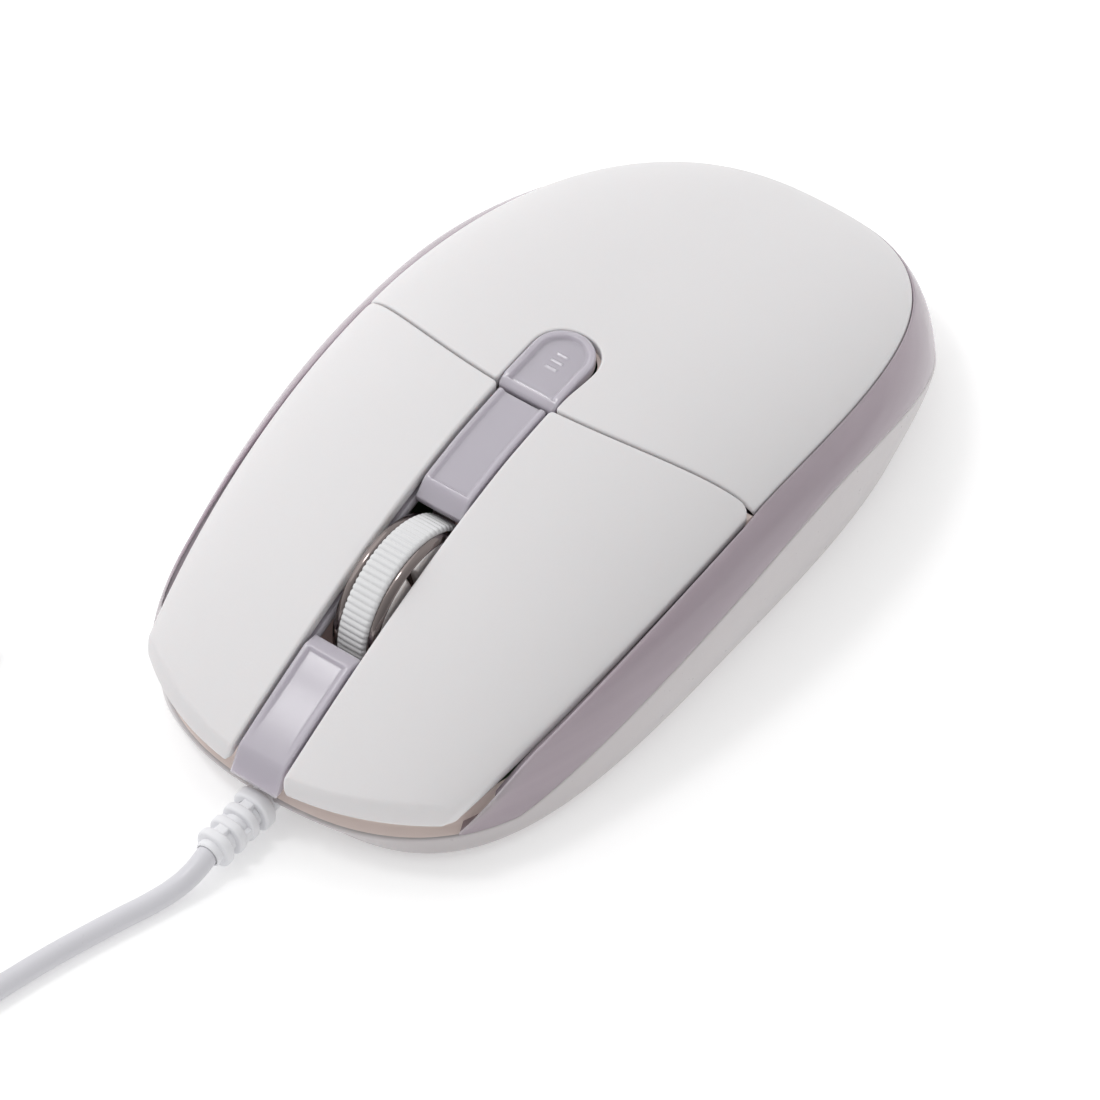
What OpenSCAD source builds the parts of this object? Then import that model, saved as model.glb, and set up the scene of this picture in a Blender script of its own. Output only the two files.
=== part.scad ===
// Wired computer mouse with a light band, a centre spine and a wheel that turns and clicks.
// Millimetres. +Z up, nose toward -Y, the user's left (thumb side) is +X, table at Z = 0.

/* [Body] */
// length from the nose to the rear
body_length = 120; // [118:1:122]
// width over the light band
body_width = 66.5; // [65:0.5:68]
// height of the crown above the rim of the cover
crown_rise = 8.6; // [8:0.1:9.2]
// height of the cover's rim at the middle of the sides
rim_height = 21.4; // [21:0.1:22]
// thickness of the covers
cover_wall = 1.6; // [1.4:0.1:2]
// thickness of the bottom case's wall
case_wall = 1.8; // [1.6:0.1:2.2]

/* [Buttons] */
// gap between the buttons and the palm cover
split_gap = 0.6; // [0.5:0.1:0.9]
// half the width of the centre spine
spine_half = 3.5; // [3.3:0.1:3.6]
// half the width between the two buttons
button_inner = 3.95; // [3.9:0.05:4.2]
// half the width of the small centre button
dpi_half = 4.2; // [4:0.1:4.4]

/* [Wheel] */
// radius of the wheel over its tyre
wheel_radius = 11; // [10.8:0.1:11.2]
// width of the tyre
tyre_width = 4.2; // [4:0.1:4.4]
// width over the two chrome flanges
hub_width = 6; // [5.8:0.1:6.2]
// radius of the axle
axle_radius = 1; // [0.9:0.05:1.1]

/* [Cord] */
// diameter of the cord
cord_d = 2.8; // [2.6:0.1:3]
// middle radius of the coiled cord
coil_radius = 15.4; // [14:0.1:16]

/* [Shown part] */
// which sub-part to draw

/* [Hidden] */
half_length = body_length / 2;
half_width = body_width / 2;
relief_tip = -69.2;
shift_y = -(relief_tip + half_length) / 2;
foot_z = 0.8;
floor_z = 2.4;
board_z = 4.4;
board_top = 5.6;
switch_top = 12.1;
plunger_top = 12.9;
crest_y = 5;
edge_power = 1.72;
nose_z = 8.2;
lip_z = 4.4;
fit = 0.05;
wheel_y = -30.5;
wheel_z = 13.6;
slot_front = -43.3;
slot_rear = -21.8;
spine_bend = -58.3;
switch_x = 16;
switch_y = -33.2;
wheel_switch_y = -7;
arm_x = 6.5;
cradle_pin_y = -47;
cradle_pin_z = 8.6;
hinge_y = 3;
hinge_z = 16;
dpi_y = 1.2;
dpi_board_z = 19;
relief_z = 2.95;
coil_mid = [-30, -110];
coil_rows = 4;
coil_lift = 0.5;
plug_x = -49.6;
plug_start = -92;
plug_z = 4;
steps = 72;

// an outline: widest half, its Y, reach to the front and rear, and the two powers
cover_line = [29.4, -1.2, 83.2, 60, 2, 2.58];
band_line = [half_width, -1.2, 85.4, 61.2, 1.88, 2.73];
base_line = [30.7, -2.3, 54.2, 58.5, 3.5, 3];
lip_line = [36, -1.2, 57.4, 90, 2.5, 2.5];

// the cord's way over the table, from the strain relief to the coil, and from the coil to the plug
run_route = [[0, -64.6, 2.95], [0, -67, 2.4], [-0.5, -69.5, 1.7], [-1.5, -73, 1.4], [-2.9, -77, 1.4],
    [-4.4, -81.5, 1.4], [-5.8, -86, 1.4], [-7, -90.5, 1.4], [-8.1, -95, 1.4], [-9, -99.5, 1.4],
    [-9.8, -104, 1.5], [-10.3, -108, 1.8], [-10.4, -110, 1.9]];
tail_route = [[-49.6, -110, 10.3], [-49.6, -106, 9.9], [-49.6, -102, 7.9], [-49.6, -98, 5.6],
    [-49.6, -95, 4.3], [-49.6, -92, 4]];
// the lead inside the case, from the strain relief to its connector, before the shift along Y
inner_route = [[0, -54, 3], [-1.2, -51.6, 3.2], [-4, -50.6, 3.35], [-9, -50.6, 3.35], [-14, -49.2, 3.35],
    [-18.5, -46.6, 3.4], [-21.8, -43.2, 3.4], [-23.9, -39, 3.9], [-24.9, -34, 5.6], [-25, -30, 6.9],
    [-24.6, -26.8, 7.5], [-23.2, -25.5, 7.7]];

white = [0.89, 0.88, 0.89];
glossy_white = [0.85, 0.84, 0.85];
smoke = [0.62, 0.58, 0.63, 0.8];
rubber_white = [0.87, 0.87, 0.87];
chrome = [0.72, 0.69, 0.7];
steel = [0.75, 0.75, 0.77];
board_green = [0.1, 0.3, 0.16];
black = [0.08, 0.08, 0.09];
dark_grey = [0.2, 0.2, 0.22];
brass = [0.8, 0.65, 0.3];

// ---- curves of the body ----

function mix(a, b, t) = a + (b - a) * t;
function clamp(t) = max(0, min(1, t));
function turned(list) = [for (i = [len(list) - 1:-1:0]) list[i]];
function reach(o, a) = sin(a) < 0 ? o[2] : o[3];
function power(o, a) = sin(a) < 0 ? o[4] : o[5];
function outline_r(o, a) =
    pow(pow(abs(cos(a)) / o[0], power(o, a)) + pow(abs(sin(a)) / reach(o, a), power(o, a)),
        -1 / power(o, a));
function outline_at(o, a, grow = 0) =
    let (r = outline_r(o, a) + grow) [r * cos(a), o[1] + r * sin(a)];
function half_at(o, y) =
    let (a = y < o[1] ? -90 : 90, u = clamp(abs(y - o[1]) / reach(o, a)))
    o[0] * pow(1 - pow(u, power(o, a)), 1 / power(o, a));

// height of an edge that peaks at crest_y and falls toward the nose and the rear
function edge_z(y, top, front, rear) = y < crest_y
    ? mix(top, front, pow((crest_y - y) / (crest_y + half_length), edge_power))
    : mix(top, rear, pow((y - crest_y) / (half_length - crest_y), edge_power));
function rim_z(y) = edge_z(y, rim_height, 6.5, 9.8);

// height of the line where the case ends and the band begins
function band_z(y) = max(lip_z, y < 13 ? mix(16.5, -3, pow((13 - y) / 73, 1.82))
    : mix(16.5, -1.3, pow((y - 13) / 47, 1.75)));

// the top surface: a dome that rises from the rim line
function rise(y) = crown_rise - 3.4 * pow(clamp((-y - 15) / 45), 1.2);
function inward(x, y) =
    let (a = y < cover_line[1] ? -90 : 90, p = power(cover_line, a))
    pow(pow(abs(x) / cover_line[0], p) + pow(abs(y - cover_line[1]) / reach(cover_line, a), p), 1 / p);
function dome(x, y) = rim_z(y) + rise(y) * pow(max(0, 1 - pow(inward(x, y), 2.5)), 0.625);

// front edge of the buttons and the line where they end
function front_y(x) = -half_length + 5.2 * pow(x / 20, 2) + 0.65 * pow(x / 20, 4);
function split_y(x) = -6.3 + 6.6 * pow(x / 29, 2);

// ---- solids made of rings ----

// joins rings with the same number of points, from the first ring to the last
module loft(rings, around = false, flat_ends = true) {
    n = len(rings[0]);
    m = len(rings);
    points = [for (r = rings) each r];
    last = around ? m - 1 : m - 2;
    sides = [for (i = [0:last], j = [0:n - 1])
        each [[i * n + j, i * n + (j + 1) % n, ((i + 1) % m) * n + (j + 1) % n],
            [i * n + j, ((i + 1) % m) * n + (j + 1) % n, ((i + 1) % m) * n + j]]];
    end = flat_ends ? [[for (j = [0:n - 1]) j]]
        : [for (j = [0:n / 2 - 2]) each [[j, j + 1, n - 2 - j], [j, n - 2 - j, n - 1 - j]]];
    caps = around ? [] : concat([for (f = end) turned(f)], [for (f = end) [for (j = f) (m - 1) * n + j]]);
    polyhedron(points, concat(sides, caps), convexity = 8);
}

// closed plate between a lower and an upper grid of points
module plate(low, high) {
    m = len(low);
    n = len(low[0]);
    rings = [for (i = [0:m - 1])
        concat([for (j = [0:n - 1]) low[i][j]], [for (j = [n - 1:-1:0]) high[i][j]])];
    loft(rings, flat_ends = false);
}

// round tube along a route
module tube(route, r, sides = 8) {
    last = len(route) - 1;
    rings = [for (i = [0:last])
        let (way = route[min(i + 1, last)] - route[max(i - 1, 0)],
            flat = norm([way[0], way[1]]),
            side = [way[1], -way[0], 0] / flat,
            up = cross(side, way) / norm(way))
        [for (k = [0:sides - 1]) route[i] + r * cos(k * 360 / sides) * side
            + r * sin(k * 360 / sides) * up]];
    loft(rings);
}

module put() {
    translate([0, shift_y, 0]) children();
}

module block(low, size) {
    translate(low) cube(size);
}

// round bar along X
module cross_bar(x0, x1, y, z, r) {
    translate([x0, y, z]) rotate([0, 90, 0]) cylinder(h = x1 - x0, r = r, $fn = 48);
}

module post(x, y, z0, z1, r, hole = 0, depth = 0) {
    difference() {
        translate([x, y, z0]) cylinder(h = z1 - z0, r = r, $fn = 32);
        if (hole > 0)
            translate([x, y, z1 - depth]) cylinder(h = depth + 1, r = hole, $fn = 32);
    }
}

module screw(x, y, z, r, length, head) {
    translate([x, y, z - length]) cylinder(h = length, r = r, $fn = 24);
    difference() {
        translate([x, y, z]) cylinder(h = 1.2, r = head, $fn = 32);
        translate([x - head * 0.7, y - 0.25, z + 0.7]) cube([head * 1.4, 0.5, 1]);
        translate([x - 0.25, y - head * 0.7, z + 0.7]) cube([0.5, head * 1.4, 1]);
    }
}

// ---- covers ----

function case_r(a) =
    pow(pow(outline_r(band_line, a), -24) + pow(outline_r(lip_line, a), -24), -1 / 24);
function case_ring(t, grow = 0) = [for (i = [0:steps - 1])
    let (a = i * 360 / steps, bulge = sin(90 * t),
        r = mix(outline_r(base_line, a), case_r(a), bulge) + grow,
        y = mix(base_line[1], band_line[1], bulge) + r * sin(a))
    [r * cos(a), y, mix(2, band_z(y), t)]];
function base_ring(scale, z, grow = 0) = [for (i = [0:steps - 1])
    let (a = i * 360 / steps, p = outline_at(base_line, a, grow))
    [scale * p[0], mix(base_line[1], p[1], scale), z]];

module case_shell() {
    loft(turned([base_ring(0.01, foot_z), base_ring(1, foot_z, -1.6), base_ring(1, 1.15, -0.5),
        case_ring(0), case_ring(0.3), case_ring(0.6), case_ring(0.85), case_ring(1),
        case_ring(1, -case_wall), case_ring(0.6, -case_wall), case_ring(0.3, -case_wall),
        base_ring(1, floor_z, -case_wall), base_ring(0.01, floor_z)]));
}

// low wall behind the front lip, which closes the gap under the buttons
module front_wall() {
    arc = [for (a = [-150:5:-30]) a];
    translate([0, 0, floor_z - 0.4]) linear_extrude(4.4) polygon(concat(
        [for (a = arc) [0, band_line[1]] + (case_r(a) - 3.2) * [cos(a), sin(a)]],
        [for (a = turned(arc)) [0, band_line[1]] + (case_r(a) - 4.2) * [cos(a), sin(a)]]));
}

board_posts = [[-19, -42], [19, -42], [-19, 8], [19, 8]];
case_posts = [[-16, 36], [16, 36]];

module bottom_case() {
    color(glossy_white)
    put() difference() {
        union() {
            case_shell();
            front_wall();
            for (p = board_posts) post(p[0], p[1], floor_z - 0.4, board_z, 2.1, 0.8, 3);
            for (p = case_posts) post(p[0], p[1], floor_z - 0.4, 17, 2.8, 1.1, 8);
            for (s = [-1, 1]) {
                post(s * 6, 13, floor_z - 0.4, dpi_board_z, 1.8, 0.7, 5);
                block([s * 24.5 - 1, hinge_y - 2.5, floor_z - 0.4], [2, 5, hinge_z + 2 - floor_z]);
                block([s * 9 - 1.2, cradle_pin_y - 2.2, floor_z - 0.4], [2.4, 4.4, cradle_pin_z - 0.2]);
            }
            for (y = [20, 26]) block([-20, y, floor_z - 0.4], [40, 1, 2]);
        }
        cross_bar(-25.6, 25.6, hinge_y, hinge_z, 1);
        cross_bar(-10, 10, cradle_pin_y, cradle_pin_z, 0.8);
        block([-4, wheel_y - 8, 1.6], [8, 16, 4]);
        block([-5, -1, 0], [10, 13, 4]);
        for (s = [-1, 1]) {
            translate([s * 16, 36, 0]) cylinder(h = 12, r = 1.1, $fn = 32);
            translate([s * 16, 36, 0]) cylinder(h = 2, r = 2.1, $fn = 32);
        }
        translate([0, -54, relief_z]) rotate([90, 0, 0]) cylinder(h = 10, r = 2.05, $fn = 48);
        block([-2.05, -64, relief_z], [4.1, 10, 6]);
    }
}

// the band's upper edge stands off the buttons by a gap that widens toward the nose
function band_gap(y) = 0.3 + 0.9 * pow(clamp((-y - 5) / 40), 2);
function band_tip(y) = sqrt(1 - pow(clamp((-y - 41) / 9), 2));
function band_section(a) =
    let (low = [0, band_line[1]] + case_r(a) * [cos(a), sin(a)], top = outline_at(cover_line, a, band_gap(low[1])),
        k = max(0.06, band_tip(low[1])), zl = band_z(low[1]), zt = mix(zl, rim_z(top[1]), k),
        out = [cos(a), sin(a)], high = mix(low, top, k), in_low = low - 2 * out,
        ledge = mix(band_gap(low[1]) + 0.05, -1.2, clamp((low[1] - 4) / 4)),
        in_high = mix(in_low, outline_at(cover_line, a, ledge), k))
    [for (p = [[low, zl + 0.01], [mix(low, high, 0.12), mix(zl, zt, 0.3)], [mix(low, high, 0.4), mix(zl, zt, 0.64)],
        [mix(low, high, 0.75), mix(zl, zt, 0.9)], [high, zt], [in_high, zt - 1.2 * k], [in_low, zl + 0.01]])
        [p[0][0], p[0][1], p[1]]];

module light_band() {
    color(smoke)
    put() loft([for (i = [0:steps]) band_section(mix(-64.6, 244.6, i / steps))]);
}

palm_rings = [0.01, 0.2, 0.4, 0.55, 0.68, 0.79, 0.88, 0.94, 0.98, 1];
function palm_ring(s, inner) = [for (i = [0:steps - 1])
    let (a = i * 360 / steps, p = outline_at(cover_line, a), x = s * p[0], y = mix(cover_line[1], p[1], s),
        r = outline_r(cover_line, a), k = inner ? 1 - cover_wall / r : 1,
        z = dome(x, max(-half_length, y)) - (inner ? cover_wall * (1 - pow(s, 10)) : 0))
    [x * k, mix(cover_line[1], y, k), z]];

// everything behind the split line, as a flat plan
module rear_plan(gap) {
    edge = [for (x = [-40:2:40]) [x, split_y(x) + gap / 2]];
    linear_extrude(60) polygon(concat(edge, [[40, 70], [-40, 70]]));
}

module slot_plan(r, front, z0, z1) {
    translate([0, 0, z0]) linear_extrude(z1 - z0) {
        translate([0, dpi_y]) circle(r, $fn = 64);
        translate([-r, front]) square([2 * r, dpi_y - front]);
    }
}

module palm_cover() {
    color(white)
    put() {
        difference() {
            intersection() {
                loft(concat([for (s = palm_rings) palm_ring(s, false)],
                    [for (s = turned(palm_rings)) palm_ring(s, true)]));
                rear_plan(split_gap);
            }
            slot_plan(dpi_half + 0.3, -12, 10, 50);
        }
        for (s = [-1, 1]) post(s * 16, 36, 17, dome(18.5, 38.5) - 0.4, 2.8);
    }
}

// ---- buttons ----

button_rows = [for (t = [0:23]) t / 23];
button_cols = [for (t = [0:17]) sin(90 * t / 17)];
function button_xy(u, v, side) =
    let (y0 = front_y(mix(button_inner, 22.8, u)), y1 = split_y(mix(button_inner, 29, u)) - split_gap / 2,
        y = mix(y0, y1, v), edge = half_at(cover_line, y) - 0.15)
    [side * mix(button_inner, edge, u), y];
// the front of a button drops from the dome to the nose edge in a short bevel
function button_top(p, v, y0) =
    let (down = clamp((p[1] - y0) / 2.2)) mix(nose_z + 0.7, dome(p[0], p[1]), pow(down, 0.6));
function button_grid(side, low) = [for (v = button_rows)
    [for (u = button_cols)
        let (vv = v < 0.3 ? v * v / 0.3 : v, p = button_xy(u, vv, side),
            y0 = button_xy(u, 0, side)[1], z = button_top(p, vv, y0),
            tuck = low ? 1.3 * pow(1 - vv, 12) : 0)
        [p[0] - (low ? side * 0.4 * pow(u, 8) : 0), p[1] + tuck,
            low ? max(nose_z, z - cover_wall) : z]]];

module button(side) {
    put() {
        if (side > 0) plate(button_grid(side, true), button_grid(side, false));
        else mirror([1, 0, 0]) plate(button_grid(1, true), button_grid(1, false));
        translate([side * switch_x, switch_y - 4, plunger_top + 0.05])
            cylinder(h = dome(switch_x, switch_y - 4) - plunger_top - 1, r = 1.4, $fn = 32);
        for (x = [10, 19]) button_arm(side * x);
    }
}

module button_arm(x) {
    difference() {
        hull() {
            cross_bar(x - 1, x + 1, hinge_y, hinge_z, 2);
            block([x - 1, -10, 22.4], [2, 3, 1]);
        }
        cross_bar(x - 2, x + 2, hinge_y, hinge_z, 1 + fit);
    }
    block([x - 1, -10, 22.4], [2, 3, dome(x, -8.5) - 1 - 22.4]);
}

module left_button() {
    color(white) button(1);
}

module right_button() {
    color(white) button(-1);
}

module dpi_button() {
    color(smoke)
    put() {
        difference() {
            intersection() {
                slot_plan(dpi_half, split_y(0) + 0.1, 22, 40);
                translate([0, 0, 0.1]) skin(-1.6, 0.2, [-6, 6], [-8, 8]);
            }
            intersection() {
                slot_plan(dpi_half - 1, split_y(0) + 2.2, 22, 40);
                translate([0, 0, 0.1]) skin(-0.5, 2, [-6, 6], [-8, 8]);
            }
        }
        translate([0, 0, dpi_board_z + 5.45]) cylinder(h = 4.6, r = 1.6, $fn = 32);
        for (s = [-1, 1]) block([s * 3.2 - 0.4, -5, 26.4], [0.8, 8, 2.4]);
    }
}

// a slice of the top surface between two depths
module skin(low, high, xs, ys) {
    nx = 12;
    ny = 16;
    plate([for (i = [0:ny]) let (y = mix(ys[0], ys[1], i / ny))
            [for (j = [0:nx]) let (x = mix(xs[0], xs[1], j / nx)) [x, y, dome(x, y) + low]]],
        [for (i = [0:ny]) let (y = mix(ys[0], ys[1], i / ny))
            [for (j = [0:nx]) let (x = mix(xs[0], xs[1], j / nx)) [x, y, dome(x, y) + high]]]);
}

// ---- centre spine ----

function spine_top(y) = dome(0, y) - 0.25;

// profile of the spine in the Y-Z plane: its top line, lowered by two depths
module spine_profile(high, low, y0, y1) {
    n = 14;
    polygon(concat([for (i = [0:n]) let (y = mix(y0, y1, i / n)) [y, spine_top(y) - high]],
        [for (i = [n:-1:0]) let (y = mix(y0, y1, i / n)) [y, spine_top(y) - low]]));
}

module across(half) {
    rotate([90, 0, 90]) translate([0, 0, -half]) linear_extrude(2 * half) children();
}

module centre_spine() {
    spine_end = split_y(0) - 0.4;
    color(smoke)
    put() difference() {
        union() {
            across(spine_half) spine_profile(0, 3, slot_rear - 2.1, spine_end);
            across(spine_half) spine_profile(0, 3, spine_bend, slot_front);
            across(spine_half) polygon([[spine_bend + 0.01, spine_top(spine_bend)], [spine_bend + 0.01, 8.2],
                [-59.2, 7.2], [-60, 7.2], [-60.2, 7.6]]);
            for (s = [-1, 1]) translate([s * 4.55, 0, 0]) {
                across(0.75) spine_profile(2.4, 3.8, spine_bend + 11, spine_end);
                across(0.75) spine_profile(3.3, 4.6, spine_bend + 2, spine_bend + 12);
            }
            for (s = [-1, 1]) {
                block([s * 4.55 - 0.75, -18, board_top], [1.5, 2.5, spine_top(-18) - 3 - board_top]);
                block([s * 4.55 - 0.75, -54, floor_z], [1.5, 2, spine_top(-53) - 4 - floor_z]);
            }
            for (y = [slot_front - 1.5, slot_rear + 0.5])
                block([-5.3, y, spine_top(y) - 3.6], [10.6, 1, 1.2]);
        }
        across(spine_half - 0.7) spine_profile(-1, 0.35, slot_rear + 0.9, spine_end - 0.9);
        across(spine_half + 1) polygon([[slot_rear, spine_top(slot_rear)], [slot_rear - 2.6, spine_top(slot_rear) - 2.7],
            [slot_rear - 2.6, 35], [slot_rear, 35]]);
        cross_bar(-3.6, 3.6, wheel_y, wheel_z, wheel_radius + 0.5);
    }
}

// ---- wheel ----

module wheel_frame() {
    put() translate([0, wheel_y, wheel_z]) rotate([0, 90, 0]) children();
}

module wheel_tyre() {
    w = tyre_width / 2;
    color(rubber_white)
    wheel_frame() rotate_extrude($fn = 96)
        polygon([[8.6, -w], [wheel_radius - 0.7, -w], [wheel_radius - 0.2, -w + 0.3],
            [wheel_radius, -w + 0.9], [wheel_radius, w - 0.9], [wheel_radius - 0.2, w - 0.3],
            [wheel_radius - 0.7, w], [8.6, w]]);
}

module wheel_hub() {
    w = tyre_width / 2;
    h = hub_width / 2;
    color(chrome)
    wheel_frame() difference() {
        rotate_extrude($fn = 96)
            polygon([[axle_radius, -h], [3, -h], [3, -h + 0.6], [7, -h + 0.6], [7.4, -h], [9, -h],
                [10.2, -w - 0.3], [10.2, -w], [8.6, -w], [8.6, w], [10.2, w], [10.2, w + 0.3],
                [9, h], [7.4, h], [7, h - 0.6], [3, h - 0.6], [3, h], [axle_radius, h]]);
        for (a = [0:60:300]) rotate(a) translate([5, 0, -10]) cylinder(h = 20, r = 1.3, $fn = 32);
    }
}

module wheel_axle() {
    color(dark_grey)
    put() {
        cross_bar(-10.9, -hub_width / 2, wheel_y, wheel_z, axle_radius);
        cross_bar(-hub_width / 2, hub_width / 2, wheel_y, wheel_z, axle_radius);
        cross_bar(hub_width / 2, 9, wheel_y, wheel_z, axle_radius);
    }
}

module encoder_disc() {
    color(black)
    put() translate([-10.6, wheel_y, wheel_z]) rotate([0, 90, 0]) difference() {
        cylinder(h = 0.8, r = 6.6, $fn = 64);
        translate([0, 0, -1]) cylinder(h = 3, r = axle_radius, $fn = 48);
        for (a = [0:15:345]) rotate(a) translate([4.2, -0.3, -1]) cube([1.6, 0.6, 3]);
    }
}

module wheel_cradle() {
    color(dark_grey)
    put() difference() {
        union() {
            for (s = [-1, 1]) {
                block([s * arm_x - 0.7, cradle_pin_y, cradle_pin_z - 1.4], [1.4, 36, 3]);
                block([s * arm_x - 0.7, wheel_y - 2.2, cradle_pin_z], [1.4, 4.4, wheel_z - cradle_pin_z]);
                cross_bar(s * arm_x - 0.7, s * arm_x + 0.7, wheel_y, wheel_z, 2.2);
                cross_bar(s * arm_x - 0.7, s * arm_x + 0.7, cradle_pin_y, cradle_pin_z, 1.8);
            }
            block([-arm_x - 0.7, -13, cradle_pin_z - 1.4], [2 * arm_x + 1.4, 2, plunger_top - cradle_pin_z + 2.85]);
            block([-2.5, -13, plunger_top + 0.05], [5, 7, 1.4]);
        }
        cross_bar(-8, 8, wheel_y, wheel_z, axle_radius + fit);
        cross_bar(-8, 8, cradle_pin_y, cradle_pin_z, 0.8 + fit);
    }
}

module cradle_pin() {
    color(steel) put() cross_bar(-10, 10, cradle_pin_y, cradle_pin_z, 0.8);
}

module encoder_emitter() {
    color(black)
    put() block([-13, wheel_y - 2, board_top], [1.8, 4, 9]);
}

module encoder_detector() {
    color(black)
    put() block([-9.3, wheel_y + 1.4, board_top], [1.7, 4, 7.5]);
}

// ---- electronics ----

module main_board() {
    color(board_green)
    put() difference() {
        block([-22, -44.6, board_z], [44, 55.6, board_top - board_z]);
        block([-4.4, wheel_y - 11.5, 0], [8.8, 23, 10]);
        for (s = [-1, 1]) block([s * 9 - 1.6, -46, 0], [3.2, 2.2, 10]);
        for (p = board_posts) translate([p[0], p[1], 0]) cylinder(h = 10, r = 1, $fn = 32);
        block([-3, 2, 0], [6, 5, 10]);
    }
}

module sensor_chip() {
    color(black) put() block([-5, -0.5, board_top], [10, 10.5, 2.4]);
}

module sensor_lens() {
    color([0.85, 0.87, 0.9, 0.5])
    put() {
        block([-6, -3.5, 3.2], [12, 16, board_z - 3.2]);
        block([-4.8, -0.8, foot_z + 0.4], [9.6, 12.6, 3.4 - foot_z]);
    }
}

module controller_chip() {
    color(black) put() block([9, -6, board_top], [7, 7, 1.2]);
}

module capacitor() {
    color(dark_grey) put() translate([-14, -2, board_top]) cylinder(h = 7, r = 2.5, $fn = 48);
}

module resistors() {
    color(dark_grey)
    put() for (i = [0:5]) block([-19, -16.5 + 2.2 * i, board_top], [1.6, 0.8, 0.6]);
}

module switch_body(x, y, turned) {
    color(black)
    put() translate([x, y, 0]) rotate(turned ? 90 : 0) difference() {
        block([-2.9, -6.4, board_top], [5.8, 12.8, switch_top - board_top]);
        block([-0.8, -5.4, switch_top - 2.2], [1.6, 2.8, 3]);
    }
}

module switch_plunger(x, y) {
    color([0.75, 0.25, 0.2])
    put() block([x - 0.7, y - 1.3, switch_top - 1.1], [1.4, 2.6, plunger_top - switch_top + 1.1]);
}

module left_switch() {
    switch_body(switch_x, switch_y, false);
}

module left_plunger() {
    switch_plunger(switch_x, switch_y - 4);
}

module right_switch() {
    switch_body(-switch_x, switch_y, false);
}

module right_plunger() {
    switch_plunger(-switch_x, switch_y - 4);
}

module wheel_switch() {
    color(black)
    put() difference() {
        block([-6.4, wheel_switch_y - 2.9, board_top], [12.8, 5.8, switch_top - board_top]);
        block([-1.4, wheel_switch_y - 0.8, switch_top - 2.2], [2.8, 1.6, 3]);
    }
}

module wheel_plunger() {
    color([0.75, 0.25, 0.2])
    put() block([-1.3, wheel_switch_y - 0.7, switch_top - 1.1], [2.6, 1.4, plunger_top - switch_top + 1.1]);
}

module dpi_board() {
    color(board_green)
    put() difference() {
        block([-8, -4.5, dpi_board_z], [16, 20, 1.2]);
        for (s = [-1, 1]) translate([s * 6, 13, 0]) cylinder(h = 40, r = 0.9, $fn = 32);
    }
}

module dpi_switch() {
    color(black)
    put() difference() {
        block([-3, -3, dpi_board_z + 1.2], [6, 6, 3.4]);
        translate([0, 0, dpi_board_z + 3.6]) cylinder(h = 3, r = 1.75, $fn = 48);
    }
}

module dpi_plunger() {
    color([0.9, 0.9, 0.9])
    put() translate([0, 0, dpi_board_z + 4.2]) cylinder(h = 1.2, r = 1.7, $fn = 48);
}

module button_hinge_pin() {
    color(steel) put() cross_bar(-25.6, 25.6, hinge_y, hinge_z, 1);
}

module indicator_leds() {
    color([0.95, 0.95, 0.9])
    put() for (s = [-1, 1], y = [-37, -1]) block([s * 20.5 - 1.4, y - 1.6, board_top], [2.8, 3.2, 1.8]);
}

module cable_header() {
    color([0.9, 0.88, 0.8]) put() block([-21.5, -26.4, board_top], [3.5, 9, 4]);
}

module cable_plug() {
    color(white) put() block([-23.2, -25.9, board_top + 0.6], [1.7, 8, 3]);
}

module inner_lead() {
    color(dark_grey) put() tube(inner_route, 0.9);
}

module board_screws() {
    color(steel)
    put() for (p = board_posts) screw(p[0], p[1], board_top, 0.8, 4, 1.7);
}

module dpi_board_screws() {
    color(steel)
    put() for (s = [-1, 1]) screw(s * 6, 13, dpi_board_z + 1.2, 0.7, 5, 1.5);
}

module case_screws() {
    color(steel)
    put() for (s = [-1, 1]) translate([s * 16, 36, 2]) mirror([0, 0, 1]) screw(0, 0, 0, 1.1, 13, 2);
}

// ---- feet ----

// flat pad with round corners
module pad(x, y, r) {
    square([2 * x, 2 * (y - r)], center = true);
    square([2 * (x - r), 2 * y], center = true);
    for (i = [-1, 1], j = [-1, 1]) translate([i * (x - r), j * (y - r)]) circle(r, $fn = 48);
}

module front_foot() {
    color(dark_grey) put() translate([0, -46.5, 0]) linear_extrude(foot_z) pad(17, 3.2, 3);
}

module rear_foot() {
    color(dark_grey) put() translate([0, 45, 0]) linear_extrude(foot_z) pad(18, 4.5, 4.4);
}

// ---- cord and plug ----

// round bar along -Y with its start at Y = y0
module relief_bar(y0, y1, r) {
    translate([0, y0, relief_z]) rotate([90, 0, 0]) cylinder(h = y0 - y1, r = r, $fn = 48);
}

module strain_relief() {
    color(white)
    put() {
        relief_bar(-54, relief_tip, 1.75);
        relief_bar(-55, -60.4, 2);
        relief_bar(-59.6, -61, 2.7);
        for (y = [-62, -64.4, -66.8]) {
            relief_bar(y, y - 1.3, 2.4);
            block([-0.6, y - 0.1, relief_z - 2.2], [1.2, 1.4, 4.4]);
            block([-2.2, y - 2.4, relief_z - 0.6], [4.4, 1.2, 1.2]);
        }
    }
}

module coil_body() {
    w = coil_rows * cord_d / 2 + 0.2;
    translate([coil_mid[0], coil_mid[1], coil_lift]) rotate_extrude($fn = 96)
        translate([coil_radius, w]) pad(w, w, 1.4);
}

module cord_run() {
    color(white) difference() {
        tube(run_route, cord_d / 2);
        coil_body();
    }
}

module cord_tail() {
    color(white) difference() {
        tube(tail_route, cord_d / 2);
        coil_body();
    }
}

module cord_coil() {
    color(white) coil_body();
}

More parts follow.
